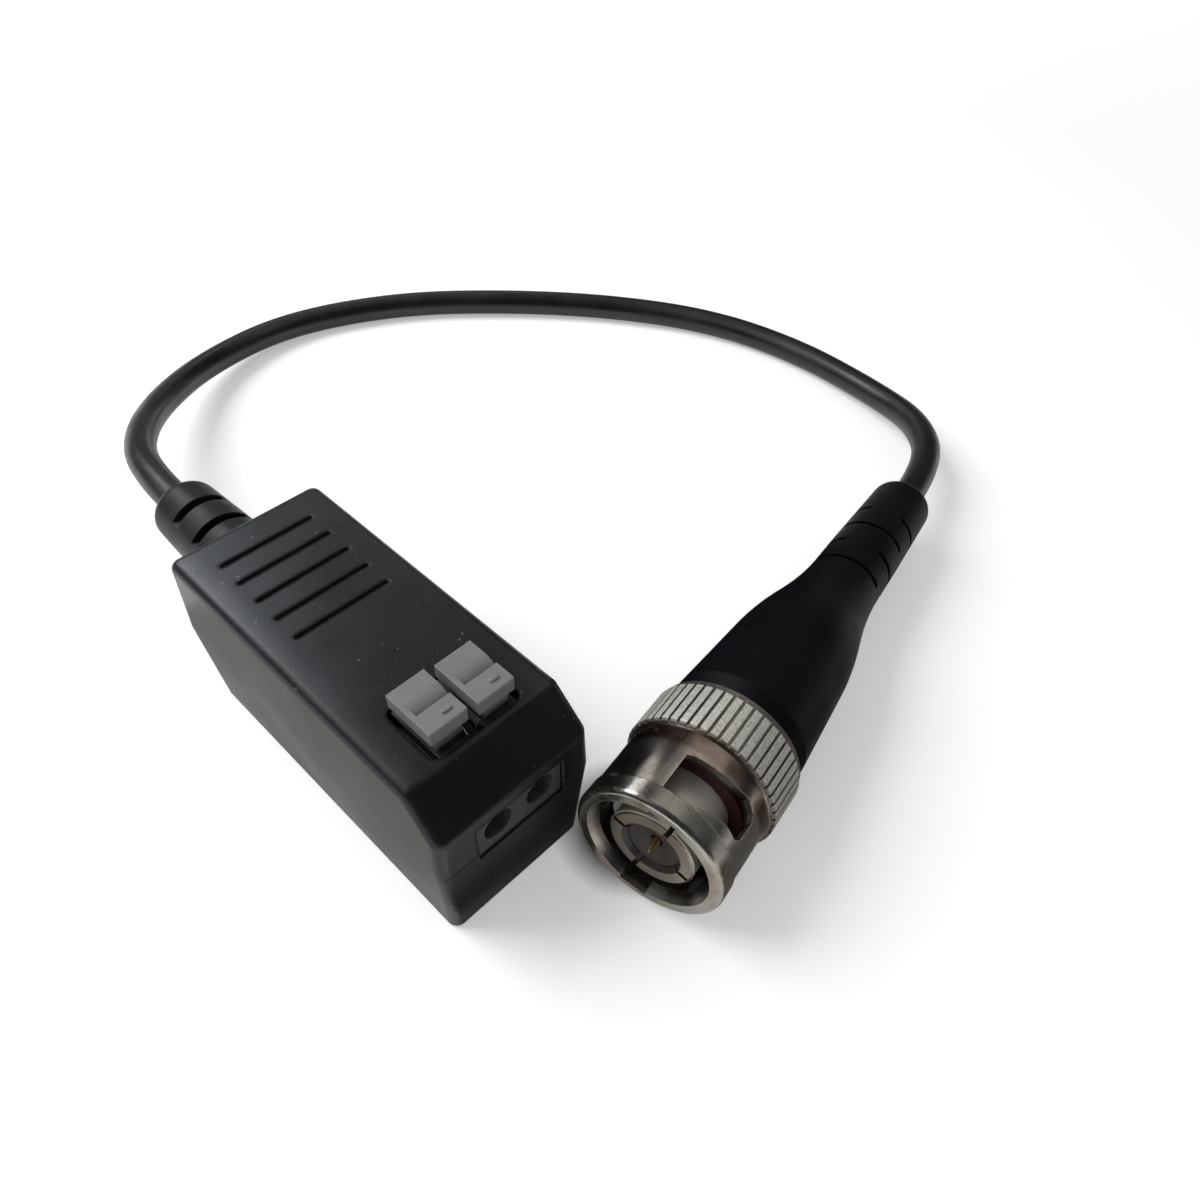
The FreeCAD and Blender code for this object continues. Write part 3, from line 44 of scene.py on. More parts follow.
# Camera
cameraLook = {
    "place": (-25.281, -50.418, 80.030),  # mm
    "heading": -47.152,  # degrees, 0 looks along +Y
    "above": 47.07,  # degrees above the horizon
    "roll": 1.94,
    "lens": 28.777,  # mm
    "sensor": 36,  # mm wide
    "clip": (0.004, 20),  # m
}


def addCamera(look):
    turn, rise, roll = (math.radians(look[key]) for key in ("heading", "above", "roll"))
    back = Vector((math.sin(turn) * math.cos(rise), -math.cos(turn) * math.cos(rise), math.sin(rise)))
    right = (-back).cross(Vector((0, 0, 1))).normalized()
    up = right.cross(-back)
    across = math.cos(roll) * right + math.sin(roll) * up
    upward = math.cos(roll) * up - math.sin(roll) * right
    data = bpy.data.cameras.new("photoCamera")
    data.sensor_width = look["sensor"]
    data.lens = look["lens"]
    data.clip_start, data.clip_end = look["clip"]
    camera = bpy.data.objects.new("photoCamera", data)
    scene.collection.objects.link(camera)
    turnMatrix = Matrix((across, upward, back)).transposed().to_4x4()
    camera.matrix_world = Matrix.Translation(Vector(look["place"]) * mm) @ turnMatrix
    scene.camera = camera


addCamera(cameraLook)
print("camera placed")


# The free lead, from the relief's end round to the boot's end. It runs straight out of both,
# so it bows wider there than the photograph's lead, and is about 5 mm longer
lead = {
    "radius": 1.75,  # mm
    "points": [  # mm
        (0, 34.45, 10.6), (0, 42.45, 10.6), (3.0, 51.0, 9.0), (9.8, 60.2, 6.0), (20.6, 68.6, 3.0),
        (35.0, 71.4, 1.8), (50.5, 64.8, 1.8), (63.5, 53.6, 1.8), (74.4, 41.0, 1.8), (82.2, 27.6, 1.8),
        (85.0, 13.4, 1.8), (83.4, -0.6, 2.3), (79.0, -10.0, 4.2), (71.306, -15.870, 5.350),
        (62.060, -17.523, 5.743)],
    "smooth": 24,  # steps on each span
    "round": 10,  # steps on each quarter of the section
    "capped": True,
    "length": 180.5,  # mm
}


def addCurve(name, look):
    data = bpy.data.curves.new(name, "CURVE")
    data.dimensions = "3D"
    data.bevel_depth = 1.0  # m, times each point's own radius
    data.bevel_resolution = look["round"]
    data.use_fill_caps = look["capped"]
    spline = data.splines.new("NURBS")
    spline.points.add(len(look["points"]) - 1)
    for point, place in zip(spline.points, look["points"]):
        point.co = (*(value * mm for value in place), 1)
        point.radius = look["radius"] * mm
    spline.order_u = 3
    spline.use_endpoint_u = True
    spline.resolution_u = look["smooth"]
    curve = bpy.data.objects.new(name, data)
    scene.collection.objects.link(curve)
    return curve


leadCurve = addCurve("lead", lead)
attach(leadCurve, "housing")
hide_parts("cable")
print("lead laid")


# Small helpers for node trees
def addNode(tree, kind, **settings):
    node = tree.nodes.new(kind)
    for name, value in settings.items():
        setattr(node, name, value)
    return node


def feed(tree, source, target):
    tree.links.new(source, target)


def mathNode(tree, operation, first, second=None, clamp=False):
    node = addNode(tree, "ShaderNodeMath", operation=operation, use_clamp=clamp)
    for socket, value in zip(node.inputs, (first, second)):
        if value is None:
            continue
        if isinstance(value, (int, float)):
            socket.default_value = value
        else:
            feed(tree, value, socket)
    return node.outputs[0]


def mapRange(tree, value, low, high, outLow, outHigh):
    node = addNode(tree, "ShaderNodeMapRange")
    feed(tree, value, node.inputs["Value"])
    for name, number in (("From Min", low), ("From Max", high), ("To Min", outLow), ("To Max", outHigh)):
        if isinstance(number, (int, float)):
            node.inputs[name].default_value = number
        else:
            feed(tree, number, node.inputs[name])
    return node.outputs["Result"]


def mixColour(tree, share, first, second):
    node = addNode(tree, "ShaderNodeMix", data_type="RGBA")
    feed(tree, share, node.inputs["Factor"])
    for socket, value in ((node.inputs[6], first), (node.inputs[7], second)):
        if isinstance(value, tuple):
            socket.default_value = (*value, 1)
        else:
            feed(tree, value, socket)
    return node.outputs[2]


def newGroup(name, inputs, outputs):
    group = bpy.data.node_groups.new(name, "ShaderNodeTree")
    for label, value in inputs.items():
        socket = group.interface.new_socket(label, in_out="INPUT", socket_type="NodeSocketFloat")
        socket.default_value = value
    for label in outputs:
        group.interface.new_socket(label, in_out="OUTPUT", socket_type="NodeSocketFloat")
    entry = addNode(group, "NodeGroupInput")
    leave = addNode(group, "NodeGroupOutput")
    return group, entry.outputs, leave.inputs


def objectPlace(tree):
    return addNode(tree, "ShaderNodeTexCoord").outputs["Object"]


def noiseAt(tree, place, scale, detail=3.0, rough=0.55):
    node = addNode(tree, "ShaderNodeTexNoise")
    feed(tree, place, node.inputs["Vector"])
    if isinstance(scale, (int, float)):
        node.inputs["Scale"].default_value = scale
    else:
        feed(tree, scale, node.inputs["Scale"])
    node.inputs["Detail"].default_value = detail
    node.inputs["Roughness"].default_value = rough
    return node.outputs["Fac"]


# Effects that several finishes share
def makeGrain():
    group, given, out = newGroup("mouldedGrain", {"Scale": 3000.0, "Blotch Scale": 180.0},
                                 ("Height", "Speckle", "Blotch"))
    place = objectPlace(group)
    fine = noiseAt(group, place, given["Scale"], 2.0, 0.6)
    cells = addNode(group, "ShaderNodeTexVoronoi", feature="SMOOTH_F1")
    feed(group, place, cells.inputs["Vector"])
    feed(group, mathNode(group, "MULTIPLY", given["Scale"], 0.6), cells.inputs["Scale"])
    pits = mathNode(group, "MULTIPLY", cells.outputs["Distance"], 0.8)
    feed(group, mathNode(group, "ADD", mathNode(group, "MULTIPLY", fine, 0.6), pits), out["Height"])
    feed(group, mapRange(group, fine, 0.56, 0.74, 0.0, 1.0), out["Speckle"])
    broad = noiseAt(group, place, given["Blotch Scale"], 4.0, 0.6)
    feed(group, mapRange(group, broad, 0.3, 0.7, 0.0, 1.0), out["Blotch"])
    return group


def makeEdgeWearAndGlint():
    group, given, out = newGroup("edgeWearAndGlint", {"Radius": 0.0003, "Gain": 6.0, "Break Up": 900.0}, ("Mask",))
    bevel = addNode(group, "ShaderNodeBevel", samples=4)
    feed(group, given["Radius"], bevel.inputs["Radius"])
    geometry = addNode(group, "ShaderNodeNewGeometry")
    dot = addNode(group, "ShaderNodeVectorMath", operation="DOT_PRODUCT")
    feed(group, bevel.outputs["Normal"], dot.inputs[0])
    feed(group, geometry.outputs["Normal"], dot.inputs[1])
    bent = mathNode(group, "SUBTRACT", 1.0, dot.outputs["Value"])
    gained = mathNode(group, "MULTIPLY", bent, given["Gain"], clamp=True)
    broken = mapRange(group, noiseAt(group, objectPlace(group), given["Break Up"]), 0.35, 0.65, 0.25, 1.0)
    feed(group, mathNode(group, "MULTIPLY", gained, broken), out["Mask"])
    return group


def makeDust():
    group, given, out = newGroup("dustSpecks", {"Scale": 900.0, "Amount": 0.5}, ("Mask",))
    place = objectPlace(group)
    cells = addNode(group, "ShaderNodeTexVoronoi", feature="F1")
    feed(group, place, cells.inputs["Vector"])
    feed(group, given["Scale"], cells.inputs["Scale"])
    size = mapRange(group, noiseAt(group, place, 260.0), 0.48, 0.75, 0.02, 0.2)
    speck = mathNode(group, "LESS_THAN", cells.outputs["Distance"], size)
    up = addNode(group, "ShaderNodeSeparateXYZ")
    feed(group, addNode(group, "ShaderNodeTexCoord").outputs["Normal"], up.inputs[0])
    lying = mapRange(group, up.outputs["Z"], 0.3, 0.9, 0.1, 1.0)
    settled = mathNode(group, "MULTIPLY", speck, lying)
    feed(group, mathNode(group, "MULTIPLY", settled, given["Amount"]), out["Mask"])
    return group


def makeHandling():
    group, given, out = newGroup("handling", {"Scale": 90.0, "Line Scale": 1400.0}, ("Smudge", "Scratch"))
    place = objectPlace(group)
    touched = noiseAt(group, place, given["Scale"], 5.0, 0.62)
    feed(group, mapRange(group, touched, 0.35, 0.68, 0.0, 1.0), out["Smudge"])
    stretch = addNode(group, "ShaderNodeMapping")
    stretch.inputs["Rotation"].default_value = (0.5, 0.2, 0.9)
    stretch.inputs["Scale"].default_value = (1.0, 0.06, 1.0)
    feed(group, place, stretch.inputs["Vector"])
    lines = noiseAt(group, stretch.outputs["Vector"], given["Line Scale"], 2.0, 0.5)
    feed(group, mapRange(group, lines, 0.62, 0.72, 0.0, 1.0), out["Scratch"])
    return group


plugFrame = {
    "face": (6.0, -27.55, 8.13),  # mm, middle of the nut's front face
    "back": (0.983517, 0.175900, -0.041876),  # along the plug's axis towards the lead
    "across": (-0.176, 0.984, 0.0),  # level, about square to the axis
}


def makePlugPlace():
    # how far back from the nut's face a point lies, and how far from the axis, in mm
    group, given, out = newGroup("plugPlace", {"Unit": 1000.0}, ("Back", "Radius"))
    offset = addNode(group, "ShaderNodeVectorMath", operation="SUBTRACT")
    feed(group, objectPlace(group), offset.inputs[0])
    offset.inputs[1].default_value = Vector(plugFrame["face"]) * mm
    along = addNode(group, "ShaderNodeVectorMath", operation="DOT_PRODUCT")
    feed(group, offset.outputs[0], along.inputs[0])
    along.inputs[1].default_value = plugFrame["back"]
    aside = addNode(group, "ShaderNodeVectorMath", operation="CROSS_PRODUCT")
    feed(group, offset.outputs[0], aside.inputs[0])
    aside.inputs[1].default_value = plugFrame["back"]
    size = addNode(group, "ShaderNodeVectorMath", operation="LENGTH")
    feed(group, aside.outputs[0], size.inputs[0])
    feed(group, mathNode(group, "MULTIPLY", along.outputs["Value"], given["Unit"]), out["Back"])
    feed(group, mathNode(group, "MULTIPLY", size.outputs["Value"], given["Unit"]), out["Radius"])
    return group


mouldedGrain = makeGrain()
edgeWearAndGlint = makeEdgeWearAndGlint()
dustSpecks = makeDust()
handling = makeHandling()
plugPlace = makePlugPlace()


def useGroup(tree, group, **values):
    node = addNode(tree, "ShaderNodeGroup", node_tree=group)
    for name, value in values.items():
        node.inputs[name.replace("_", " ")].default_value = value
    return node.outputs


def newFinish(name, look):
    material = bpy.data.materials.new(name)
    material.use_nodes = True
    tree = material.node_tree
    shader = tree.nodes["Principled BSDF"]
    for socket, value in look.get("shader", {}).items():
        shader.inputs[socket].default_value = value
    return material, tree, shader


def addBump(tree, shader, height, depth, soft):
    # soft: how far the shading rounds the edges, in mm
    rounded = addNode(tree, "ShaderNodeBevel", samples=6)
    rounded.inputs["Radius"].default_value = soft * mm
    bump = addNode(tree, "ShaderNodeBump")
    bump.inputs["Strength"].default_value = 1.0
    feed(tree, rounded.outputs["Normal"], bump.inputs["Normal"])
    bump.inputs["Distance"].default_value = depth * mm
    feed(tree, height, bump.inputs["Height"])
    feed(tree, bump.outputs["Normal"], shader.inputs["Normal"])


edgeSoft = {"plastic": 0.09, "rubber": 0.18, "metal": 0.10}  # mm, how far the shading rounds the edges
dustColour = {"plastic": (0.42, 0.42, 0.40), "rubber": (0.30, 0.31, 0.30)}


# Moulded plastics: grain, mottled colour, rubbed edges and dust; on the levers the light edges are also a
# painted highlight, and the terminal block has painted shade
plastics = {
    "lidPlastic": {
        "colour": (0.0062, 0.0086, 0.0102), "mottle": (0.0138, 0.0174, 0.0200), "wornAndGlint": (0.040, 0.043, 0.046),
        "grain": 13000.0, "blotch": 150.0, "depth": 0.010, "rough": (0.24, 0.34), "edge": 0.25, "wearAndGlintShare": 0.5,
        "dust": 0.20, "soft": 0.55, "crown": (5.3, 8.1, 0.13), "shader": {"Specular IOR Level": 0.42}},
    "basePlastic": {
        "colour": (0.0100, 0.0106, 0.0096), "mottle": (0.0180, 0.0188, 0.0170), "wornAndGlint": (0.040, 0.042, 0.040),
        "grain": 2600.0, "blotch": 120.0, "depth": 0.022, "rough": (0.31, 0.43), "edge": 0.25, "wearAndGlintShare": 0.4,
        "dust": 0.14, "shader": {"Specular IOR Level": 0.44}},
    "blockPlastic": {
        "colour": (0.0230, 0.0245, 0.0228), "mottle": (0.0360, 0.0380, 0.0355), "wornAndGlint": (0.120, 0.125, 0.118),
        "grain": 3200.0, "blotch": 300.0, "depth": 0.018, "rough": (0.44, 0.58), "edge": 0.24, "wearAndGlintShare": 0.95,
        "dust": 0.15,
        # above 15 mm the block is painted darker, as painted shade under the levers; the front face is
        # lighter
        "zones": [("Y", -18.72, -18.45, (0.062, 0.064, 0.058)), ("Z", 15.9, 15.0, (0.007, 0.008, 0.008))],
        "shader": {"Specular IOR Level": 0.4}},
    # the levers' light edge colour is partly wear and partly a painted highlight on the nubs and edges
    "leverPlastic": {
        "colour": (0.200, 0.208, 0.202), "mottle": (0.235, 0.244, 0.236), "wornAndGlint": (0.52, 0.53, 0.52),
        "grain": 3800.0, "blotch": 420.0, "depth": 0.014, "rough": (0.34, 0.46), "edge": 0.12, "wearAndGlintShare": 0.8,
        "dust": 0.25, "shader": {"Specular IOR Level": 0.45}},
    "insulatorPlastic": {
        "colour": (0.036, 0.029, 0.025), "mottle": (0.050, 0.041, 0.036), "wornAndGlint": (0.10, 0.09, 0.08),
        "grain": 3000.0, "blotch": 500.0, "depth": 0.010, "rough": (0.32, 0.44), "edge": 0.12, "wearAndGlintShare": 0.3,
        "dust": 0.1, "shader": {"Specular IOR Level": 0.45}},
    "epoxyPlastic": {
        "colour": (0.012, 0.012, 0.013), "mottle": (0.022, 0.022, 0.024), "wornAndGlint": (0.07, 0.07, 0.07),
        "grain": 5200.0, "blotch": 500.0, "depth": 0.012, "rough": (0.55, 0.70), "edge": 0.1, "wearAndGlintShare": 0.3,
        "dust": 0.1, "shader": {}},
    "boardLaminate": {
        "colour": (0.010, 0.075, 0.028), "mottle": (0.016, 0.110, 0.040), "wornAndGlint": (0.30, 0.27, 0.15),
        "grain": 1800.0, "blotch": 260.0, "depth": 0.010, "rough": (0.28, 0.40), "edge": 0.1, "wearAndGlintShare": 0.5,
        "dust": 0.1, "shader": {"Coat Weight": 0.3}},
    "ferriteStone": {
        "colour": (0.030, 0.030, 0.033), "mottle": (0.055, 0.055, 0.058), "wornAndGlint": (0.110, 0.110, 0.115),
        "grain": 4200.0, "blotch": 700.0, "depth": 0.020, "rough": (0.60, 0.75), "edge": 0.15, "wearAndGlintShare": 0.5,
        "dust": 0.1, "shader": {}},
    "ceramicBody": {
        "colour": (0.50, 0.23, 0.03), "mottle": (0.60, 0.30, 0.05), "wornAndGlint": (0.66, 0.40, 0.12),
        "grain": 2400.0, "blotch": 500.0, "depth": 0.012, "rough": (0.25, 0.40), "edge": 0.15, "wearAndGlintShare": 0.3,
        "dust": 0.1, "shader": {"Coat Weight": 0.4}},
}


def addCrown(tree, look, height):
    # the lid's top bends down a little towards its long edges: from, to and by how much, in mm
    inner, outer, fall = look["crown"]
    split = addNode(tree, "ShaderNodeSeparateXYZ")
    feed(tree, objectPlace(tree), split.inputs[0])
    aside = mathNode(tree, "ABSOLUTE", split.outputs["X"])
    part = mapRange(tree, aside, inner * mm, outer * mm, 0.0, 1.0)
    drop = mathNode(tree, "MULTIPLY", mathNode(tree, "POWER", part, 2.0), fall / look["depth"])
    return mathNode(tree, "SUBTRACT", height, drop)


def makePlastic(name, look):
    material, tree, shader = newFinish(name, look)
    grain = useGroup(tree, mouldedGrain, Scale=look["grain"], Blotch_Scale=look["blotch"])
    wornAndGlint = useGroup(tree, edgeWearAndGlint, Radius=look["edge"] * mm)["Mask"]
    dust = useGroup(tree, dustSpecks, Amount=look["dust"])["Mask"]
    rub = useGroup(tree, handling)
    mottled = mathNode(tree, "MAXIMUM", mathNode(tree, "MULTIPLY", grain["Blotch"], 0.5), grain["Speckle"])
    base = mixColour(tree, mottled, look["colour"], look["mottle"])
    # on the terminal block, the zone above 15 mm is painted shade
    for axis, whole, none, colour in look.get("zones", []):  # mm, where the colour is whole and where it ends
        split = addNode(tree, "ShaderNodeSeparateXYZ")
        feed(tree, objectPlace(tree), split.inputs[0])
        share = mapRange(tree, split.outputs[axis], whole * mm, none * mm, 1.0, 0.0)
        base = mixColour(tree, share, base, colour)
    # lighter edges: wear, and on the levers also a painted highlight
    rubbedAndGlinting = mixColour(tree, mathNode(tree, "MULTIPLY", wornAndGlint, look["wearAndGlintShare"]), base, look["wornAndGlint"])
    feed(tree, mixColour(tree, dust, rubbedAndGlinting, dustColour["plastic"]), shader.inputs["Base Color"])
    low, high = look["rough"]
    rough = mapRange(tree, mathNode(tree, "ADD", mathNode(tree, "MULTIPLY", rub["Smudge"], 0.6),
                                    mathNode(tree, "MULTIPLY", grain["Blotch"], 0.4)), 0.0, 1.0, low, high)
    feed(tree, mathNode(tree, "ADD", rough, mathNode(tree, "MULTIPLY", dust, 0.3), clamp=True),
         shader.inputs["Roughness"])
    height = grain["Height"]
    if "crown" in look:
        height = addCrown(tree, look, height)
    addBump(tree, shader, height, look["depth"], look.get("soft", edgeSoft["plastic"]))
    return material


# Rubber: faint bloom, fine pores and a softer shine
rubbers = {
    "leadRubber": {
        "colour": (0.0040, 0.0052, 0.0048), "bloom": (0.0090, 0.0108, 0.0104),
        "grain": 1500.0, "depth": 0.012, "rough": (0.30, 0.44), "dust": 0.12,
        "shader": {"Specular IOR Level": 0.55}},
    "reliefRubber": {
        "colour": (0.0040, 0.0048, 0.0050), "bloom": (0.0090, 0.0102, 0.0104),
        "grain": 1800.0, "depth": 0.015, "rough": (0.34, 0.5), "dust": 0.15,
        "shader": {"Specular IOR Level": 0.32}},
    "bootRubber": {
        "colour": (0.0022, 0.0026, 0.0038), "bloom": (0.0050, 0.0060, 0.0082),
        "grain": 2300.0, "depth": 0.016, "rough": (0.44, 0.60), "dust": 0.06,
        "shader": {"Specular IOR Level": 0.12}},
    "paleFibre": {
        "colour": (0.50, 0.50, 0.47), "bloom": (0.62, 0.62, 0.58), "grain": 4000.0, "depth": 0.004,
        "rough": (0.4, 0.6), "dust": 0.0, "shader": {}},
    "gasketRubber": {
        "colour": (0.032, 0.004, 0.005), "bloom": (0.056, 0.008, 0.009), "grain": 2500.0, "depth": 0.01,
        "rough": (0.35, 0.5), "dust": 0.05, "shader": {}},
}


def makeRubber(name, look):
    material, tree, shader = newFinish(name, look)
    grain = useGroup(tree, mouldedGrain, Scale=look["grain"], Blotch_Scale=110.0)
    rub = useGroup(tree, handling, Scale=120.0)
    dust = useGroup(tree, dustSpecks, Scale=1100.0, Amount=look["dust"])["Mask"]
    base = mixColour(tree, grain["Blotch"], look["colour"], look["bloom"])
    feed(tree, mixColour(tree, dust, base, dustColour["rubber"]), shader.inputs["Base Color"])
    feed(tree, mapRange(tree, rub["Smudge"], 0.0, 1.0, *look["rough"]), shader.inputs["Roughness"])
    addBump(tree, shader, grain["Height"], look["depth"], edgeSoft["rubber"])
    return material


# Metals: handling marks, fine scratches, tarnish and bright edges
metals = {
    "nutNickel": {
        "colour": (0.52, 0.50, 0.455), "dull": (0.33, 0.305, 0.27), "tarnish": (0.26, 0.165, 0.125),
        "spread": 0.7, "rough": (0.15, 0.33), "grain": 2600.0, "depth": 0.012, "edge": 0.2,
        "where": "nut"},
    "contactNickel": {
        "colour": (0.37, 0.33, 0.285), "dull": (0.22, 0.19, 0.165), "tarnish": (0.19, 0.11, 0.08),
        "spread": 0.5, "rough": (0.26, 0.44), "grain": 2600.0, "depth": 0.010, "edge": 0.15,
        "where": "contact"},
    "pinGold": {
        "colour": (0.92, 0.63, 0.25), "dull": (0.70, 0.42, 0.13), "tarnish": (0.40, 0.20, 0.06),
        "spread": 0.3, "rough": (0.16, 0.30), "grain": 3000.0, "depth": 0.004, "edge": 0.08},
    "springSteel": {
        "colour": (0.56, 0.56, 0.55), "dull": (0.36, 0.35, 0.34), "tarnish": (0.30, 0.22, 0.16),
        "spread": 0.3, "rough": (0.20, 0.38), "grain": 3000.0, "depth": 0.006, "edge": 0.08},
    "tinnedCopper": {
        "colour": (0.66, 0.65, 0.62), "dull": (0.47, 0.45, 0.42), "tarnish": (0.45, 0.26, 0.15),
        "spread": 0.4, "rough": (0.24, 0.42), "grain": 2600.0, "depth": 0.012, "edge": 0.08},
    "enamelWire": {
        "colour": (0.45, 0.13, 0.03), "dull": (0.30, 0.08, 0.02), "tarnish": (0.22, 0.05, 0.02),
        "spread": 0.3, "rough": (0.16, 0.28), "grain": 2600.0, "depth": 0.006, "edge": 0.08},
}
grip = {  # mm, the nut's knurled part, what lies beside it, and the outer contact
    "start": 8.35,
    "floor": 7.2,
    "top": 7.44,
    "reflectionFrom": 6.4,
    "rim": 1.95,
    "inner": 6.2,  # inside of the nut
    "innerFrom": 0.5,
    "lining": 2.9,  # inside of the outer contact
    "sleeve": 4.0,  # outside of the outer contact
    "duller": 0.55,  # how much less metallic that outside is
    "roughens": 0.28,  # added to the grip's roughness
    "reflectionScale": 170.0,
    "speckScale": 5200.0,
    "latheScale": 3.2,
    "latheBend": 0.4,
    "grooveTone": (0.13, 0.115, 0.098),  # the colours
    # a painted reddish reflection between the nut's window and the knurl
    "stainAndReflection": (0.13, 0.078, 0.060),
    "glint": (0.80, 0.79, 0.73),
    "shaded": (0.070, 0.058, 0.050),
    # painted light: the outer contact's outside is coloured lighter, seen lit through the nut's window
    "sleeveLitColour": (0.80, 0.76, 0.68),
}


def addGripDetail(tree, shader, base, rough, height):
    spot = useGroup(tree, plugPlace)
    onGrip = mathNode(tree, "MULTIPLY",
                      mapRange(tree, spot["Back"], grip["start"], grip["start"] + 0.1, 0.0, 1.0),
                      mapRange(tree, spot["Radius"], grip["floor"] - 0.1, grip["floor"], 0.0, 1.0))
    # the knurl's grooves get darker towards their floor
    below = mapRange(tree, spot["Radius"], grip["floor"], grip["top"], 0.7, 0.0)
    grooveShare = mathNode(tree, "MULTIPLY", onGrip, below)
    atTop = mapRange(tree, spot["Radius"], grip["top"] - 0.04, grip["top"], 0.0, 1.0)
    crown = mathNode(tree, "MULTIPLY", onGrip, atTop)
    base = mixColour(tree, grooveShare, base, grip["grooveTone"])
    # painted reflection: a patchy reddish band between the window and the knurl
    beside = mathNode(tree, "MULTIPLY",
                      mapRange(tree, spot["Back"], grip["reflectionFrom"], grip["reflectionFrom"] + 0.5, 0.0, 1.0),
                      mapRange(tree, spot["Back"], grip["start"] - 0.2, grip["start"], 1.0, 0.0))
    patch = mapRange(tree, noiseAt(tree, objectPlace(tree), grip["reflectionScale"]), 0.38, 0.54, 0.4, 0.95)
    base = mixColour(tree, mathNode(tree, "MULTIPLY", beside, patch), base, grip["stainAndReflection"])
    speck = noiseAt(tree, objectPlace(tree), grip["speckScale"], 2.0, 0.7)
    glint = mathNode(tree, "MULTIPLY", crown, mapRange(tree, speck, 0.36, 0.62, 0.2, 1.0))
    base = mixColour(tree, glint, base, grip["glint"])
    feed(tree, mapRange(tree, crown, 0.0, 1.0, 1.0, 0.60), shader.inputs["Metallic"])
    rough = mathNode(tree, "ADD", rough, mathNode(tree, "MULTIPLY", onGrip, grip["roughens"]))
    turned = addNode(tree, "ShaderNodeTexWave", wave_type="BANDS", bands_direction="X")
    along = addNode(tree, "ShaderNodeCombineXYZ")
    feed(tree, spot["Back"], along.inputs["X"])
    feed(tree, along.outputs[0], turned.inputs["Vector"])
    turned.inputs["Scale"].default_value = grip["latheScale"]
    turned.inputs["Distortion"].default_value = grip["latheBend"]
    onRim = mapRange(tree, spot["Back"], grip["rim"], grip["rim"] + 0.05, 0.5, 0.0)
    lathe = mathNode(tree, "MULTIPLY", turned.outputs["Fac"], onRim)
    pitted = mathNode(tree, "MULTIPLY", height, mapRange(tree, onGrip, 0.0, 1.0, 0.3, 4.0))
    mouth = grip["innerFrom"]
    inside = mathNode(tree, "MULTIPLY",
                      mapRange(tree, spot["Radius"], grip["inner"], grip["inner"] + 0.1, 0.85, 0.0),
                      mapRange(tree, spot["Back"], mouth - 0.2, mouth + 0.2, 0.0, 1.0))
    base = mixColour(tree, inside, base, grip["shaded"])
    return base, rough, mathNode(tree, "ADD", pitted, lathe)


def addLining(tree, shader, base):
    # the outer contact's bore wears the insulator's colour and isn't metallic
    spot = useGroup(tree, plugPlace)
    metal = mapRange(tree, spot["Radius"], grip["lining"] - 0.06, grip["lining"], 0.0, 1.0)
    # painted light: the outside of the outer contact is coloured lighter and less metallic, so it looks lit
    # through the nut's window
    sleeve = mapRange(tree, spot["Radius"], grip["sleeve"], grip["sleeve"] + 0.04, 0.0, 1.0)
    duller = mathNode(tree, "MULTIPLY", sleeve, grip["duller"])
    feed(tree, mathNode(tree, "SUBTRACT", metal, duller), shader.inputs["Metallic"])
    base = mixColour(tree, mathNode(tree, "MULTIPLY", sleeve, 0.8), base, grip["sleeveLitColour"])
    return mixColour(tree, metal, plastics["insulatorPlastic"]["colour"], base)


def makeMetal(name, look):
    material, tree, shader = newFinish(name, look)
    grain = useGroup(tree, mouldedGrain, Scale=look["grain"], Blotch_Scale=260.0)
    rub = useGroup(tree, handling, Scale=150.0)
    wornAndGlint = useGroup(tree, edgeWearAndGlint, Radius=look["edge"] * mm, Gain=4.0)["Mask"]
    base = mixColour(tree, mathNode(tree, "MULTIPLY", rub["Smudge"], 0.7), look["colour"], look["dull"])
    stainAndReflection = mapRange(tree, noiseAt(tree, objectPlace(tree), 240.0, 4.0), 0.52, 0.72, 0.0, look["spread"])
    base = mixColour(tree, stainAndReflection, base, look["tarnish"])
    rough = mapRange(tree, rub["Smudge"], 0.0, 1.0, *look["rough"])
    rough = mathNode(tree, "ADD", rough, mathNode(tree, "MULTIPLY", rub["Scratch"], 0.12))
    height = grain["Height"]
    bright = tuple(min(1.0, value * 1.3) for value in look["colour"])
    base = mixColour(tree, wornAndGlint, base, bright)
    shader.inputs["Metallic"].default_value = 1.0
    if look.get("where") == "nut":
        base, rough, height = addGripDetail(tree, shader, base, rough, height)
    if look.get("where") == "contact":
        base = addLining(tree, shader, base)
    feed(tree, base, shader.inputs["Base Color"])
    feed(tree, mathNode(tree, "MINIMUM", rough, 1.0), shader.inputs["Roughness"])
    addBump(tree, shader, height, look["depth"], edgeSoft["metal"])
    return material


wears = {  # node to finish
    "top_cover": "lidPlastic", "bottom_cover": "basePlastic", "terminal_block": "blockPlastic",
    "lever_left": "leverPlastic", "lever_right": "leverPlastic", "clamp_left": "springSteel",
    "clamp_right": "springSteel", "contact_left": "tinnedCopper", "contact_right": "tinnedCopper",
    "circuit_board": "boardLaminate", "ferrite_core": "ferriteStone", "winding_a": "enamelWire",
    "winding_b": "enamelWire", "capacitor": "ceramicBody", "surge_diode": "epoxyPlastic",
    "resistors": "epoxyPlastic", "strain_relief": "reliefRubber", "lead_start": "leadRubber",
    "core_wire": "tinnedCopper", "braid_tail": "tinnedCopper", "plug_body": "contactNickel",
    "plug_dielectric": "insulatorPlastic", "centre_pin": "pinGold", "gasket": "gasketRubber",
    "coupling_nut": "nutNickel", "thrust_washer": "contactNickel", "wave_washer": "springSteel",
    "retaining_ring": "springSteel", "braid_end": "tinnedCopper", "crimp_ferrule": "contactNickel",
    "lead_end": "leadRubber", "plug_boot": "bootRubber",
}


